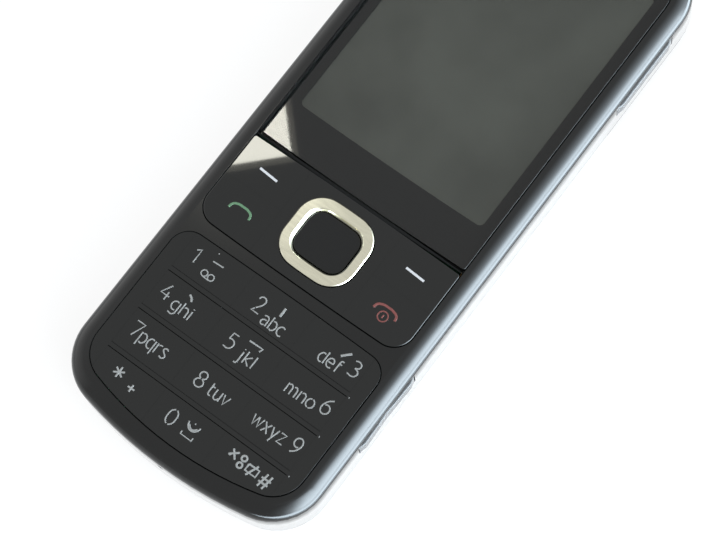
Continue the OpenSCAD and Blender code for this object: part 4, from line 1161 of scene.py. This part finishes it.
class PHONE_OT_housing(Operator):
    """Chassis, rear cover and the pieces inside, with their finishes, and painted shade below the frame's seam
    on the chassis
    """

    bl_idname = "phone.housing"
    bl_label = "Housing"

    def execute(self, context):
        body_of = frame["record"]["behaviour"]["bodies"]
        for name, (nodes, look) in NODE_FINISHES.items():
            material = finish(name, **look)
            # The chassis's colour gets painted shade in a band below the frame's seam
            if "chassis" in nodes:
                paint_shade_below(material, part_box("chassis")[1].z, PAINTED_SEAM_SHADE, sizes().painted_shade_depth)
            for node in nodes:
                solid = repaint(node, material)
                if node in SMOOTHED:
                    bm = bmesh.new()
                    bm.from_mesh(solid.data)
                    bmesh.ops.remove_doubles(bm, verts=bm.verts, dist=MERGE_DISTANCE)
                    body = next(body for body, members in body_of.items() if node in members)
                    add_piece(node + "_shell", bm, material, body, [node], sharp=30.0,
                              level_top=False)
        return {"FINISHED"}


def room_world(stage):
    """A pale room with a bright window on the right and a pale wall on the left. The camera sees white."""
    world = bpy.data.worlds.new("Studio room")
    bpy.context.scene.world = world
    tree, surface = blank_tree(world, "World")
    path = add_node(tree, "LightPath").outputs
    ways = add_node(tree, "TexCoord").outputs["Generated"]
    parts = add_node(tree, "SeparateXYZ", {0: ways}).outputs
    slope = reckon(tree, "DIVIDE", parts["Y"], reckon(tree, "MAXIMUM", parts["X"], LEAST_RIGHT))
    across = spread_out(tree, slope, SLOPES)
    sky = reckon(tree, "MULTIPLY", fall_off(tree, facing(tree, ways, SKY_WAY), SKY_FALL),
                 fall_off(tree, across, SKY_SIDES))
    rightward = reckon(tree, "MULTIPLY", parts["X"], RIGHT_RISE, clamp=True)
    within = reckon(tree, "MULTIPLY", fall_off(tree, across, PANE_SIDES), rightward)
    pane = fall_off(tree, parts["Z"], PANE_RISE)
    window = add_node(tree, "Mix", {0: within, 2: sky, 3: pane}).outputs[0]
    share = add_node(tree, "MapRange", {"Value": path["Is Glossy Ray"], "To Min": stage.daylight})
    shine = reckon(tree, "MULTIPLY", window, share.outputs["Result"])
    tint = [channel * stage.window for channel in stage.window_tint]
    wall = fall_off(tree, facing(tree, ways, WALL_WAY), WALL_FALL)
    grey = reckon(tree, "ADD", reckon(tree, "MULTIPLY", wall, stage.wall), stage.room)
    light = vector_reckon(tree, "ADD", {0: vector_reckon(tree, "SCALE", {0: tint, "Scale": shine}), 1: grey})
    room = add_node(tree, "Background", {"Color": light}).outputs["Background"]
    seen = add_node(tree, "Background", {"Color": WHITE}).outputs["Background"]
    feed(tree, surface, blend(tree, path["Is Camera Ray"], room, seen))


def add_square(name, reach, material):
    """A flat square in the scene, with a material."""
    bm = bmesh.new()
    bmesh.ops.create_grid(bm, x_segments=1, y_segments=1, size=reach)
    square = new_object(name, mesh_of(name, bm))
    square.data.materials.append(material)
    return square


def pale_floor(gloss):
    """A pale floor that keeps the shadow, is seen near white and is clear from below. Gloss is its glow in
    reflections."""
    material = bpy.data.materials.new("Pale floor")
    tree, surface = blank_tree(material, "Material")
    paint = add_node(tree, "BsdfPrincipled", {"Base Color": (*colours().floor, 1), "Roughness": 0.8,
                                              "Specular IOR Level": 0.2}).outputs["BSDF"]
    path = add_node(tree, "LightPath").outputs
    camera, glossy = path["Is Camera Ray"], path["Is Glossy Ray"]
    power = reckon(tree, "MAXIMUM", camera, reckon(tree, "MULTIPLY", glossy, gloss))
    glow = add_node(tree, "Emission", {"Strength": power}).outputs["Emission"]
    share = reckon(tree, "MULTIPLY", reckon(tree, "MAXIMUM", camera, glossy), FLOOR_SHARE)
    below = add_node(tree, "NewGeometry").outputs["Backfacing"]
    clear = add_node(tree, "BsdfTransparent").outputs["BSDF"]
    feed(tree, surface, blend(tree, below, blend(tree, share, paint, glow), clear))
    floor = add_square("floor", FLOOR_REACH, material)
    floor.location.z = CAD_BOX[0][2] - FLOOR_GAP


def glow_card(name, power, tint, place, width, depth, degrees=0):
    """A level card that glows for reflections and stays out of the picture, turned about the vertical."""
    material = bpy.data.materials.new(name)
    tree, surface = blank_tree(material, "Material")
    light = add_node(tree, "Emission", {"Color": (*tint, 1), "Strength": power})
    feed(tree, surface, light.outputs["Emission"])
    card = add_square(name, CARD_REACH, material)
    card.visible_camera = False
    card.visible_diffuse = False
    card.visible_shadow = False
    turn = Matrix.Rotation(math.radians(degrees), 4, "Z")
    card.matrix_world = Matrix.Translation(place) @ turn @ Matrix.Diagonal((width, depth, 1, 1))


def photo_camera():
    """The photograph's camera."""
    data = bpy.data.cameras.new("Photo camera")
    data.sensor_fit = "HORIZONTAL"
    data.sensor_width = SENSOR
    data.lens = FOCAL_PIXELS / PHOTO_WIDTH * SENSOR
    data.clip_start = 0.01
    camera = new_object("Photo camera", data)
    back = CAMERA_RIGHT.cross(-CAMERA_DOWN).normalized()
    turn = Matrix((CAMERA_RIGHT, -CAMERA_DOWN, back)).transposed().to_4x4()
    camera.matrix_world = Matrix.Translation(CAMERA_PLACE) @ turn
    bpy.context.scene.camera = camera


class PHONE_OT_stage(Operator):
    """Floor, room, lights and camera"""

    bl_idname = "phone.stage"
    bl_label = "Stage"

    def execute(self, context):
        stage = context.scene.phone_stage
        context.scene.view_settings.view_transform = "Standard"
        room_world(stage)
        pale_floor(stage.floor_gloss)
        glow_card("Sunlit table", stage.table, stage.window_tint, TABLE_PLACE, TABLE_WIDTH, TABLE_DEPTH)
        glow_card("Table edge", stage.table_edge, stage.window_tint, EDGE_PLACE, EDGE_WIDTH, TABLE_DEPTH)
        glow_card("Lamp", stage.lamp, LAMP_TINT, LAMP_PLACE, LAMP_SIDE, LAMP_SIDE, LAMP_TURN)
        rim_side = LAMP_SIDE + 2 * LAMP_RIM
        glow_card("Lamp rim", RIM_SHARE * stage.lamp, RIM_TINT, LAMP_PLACE + RIM_RISE, rim_side, rim_side,
                  LAMP_TURN)
        photo_camera()
        return {"FINISHED"}


class PHONE_PT_looks(Panel):
    """Lists the pieces and their sizes"""

    bl_idname = "PHONE_PT_looks"
    bl_label = "Feature phone"
    bl_space_type = "VIEW_3D"
    bl_region_type = "UI"
    bl_category = "Phone"

    def draw(self, context):
        column = self.layout.column()
        for step in STEPS:
            column.operator(step.bl_idname)
        for group in (context.scene.phone_sizes, context.scene.phone_colours, context.scene.phone_stage):
            box = self.layout.box()
            for name in group.bl_rna.properties.keys():
                if name not in ("rna_type", "name"):
                    box.prop(group, name)


STEPS = (PHONE_OT_stage, PHONE_OT_front_frame, PHONE_OT_display_lens, PHONE_OT_navigation_panel,
         PHONE_OT_navigation_ring, PHONE_OT_number_keys, PHONE_OT_side_keys, PHONE_OT_legends,
         PHONE_OT_housing)
GROUPS = {"phone_sizes": PhoneSizes, "phone_colours": PhoneColours, "phone_stage": PhoneStage}


def register():
    """Registers the settings, the operators and the panel."""
    for name, group in GROUPS.items():
        bpy.utils.register_class(group)
        setattr(bpy.types.Scene, name, PointerProperty(type=group))
    for step in STEPS:
        bpy.utils.register_class(step)
    bpy.utils.register_class(PHONE_PT_looks)


def unregister():
    """Takes them back."""
    bpy.utils.unregister_class(PHONE_PT_looks)
    for step in reversed(STEPS):
        bpy.utils.unregister_class(step)
    for name, group in reversed(GROUPS.items()):
        delattr(bpy.types.Scene, name)
        bpy.utils.unregister_class(group)


def main():
    """Registers the settings and makes the pieces in order."""
    register()
    bpy.ops.phone.stage()
    bpy.ops.phone.front_frame()
    bpy.ops.phone.display_lens()
    bpy.ops.phone.navigation_panel()
    bpy.ops.phone.navigation_ring()
    bpy.ops.phone.number_keys()
    bpy.ops.phone.side_keys()
    bpy.ops.phone.legends()
    bpy.ops.phone.housing()


if __name__ == "__main__":
    main()
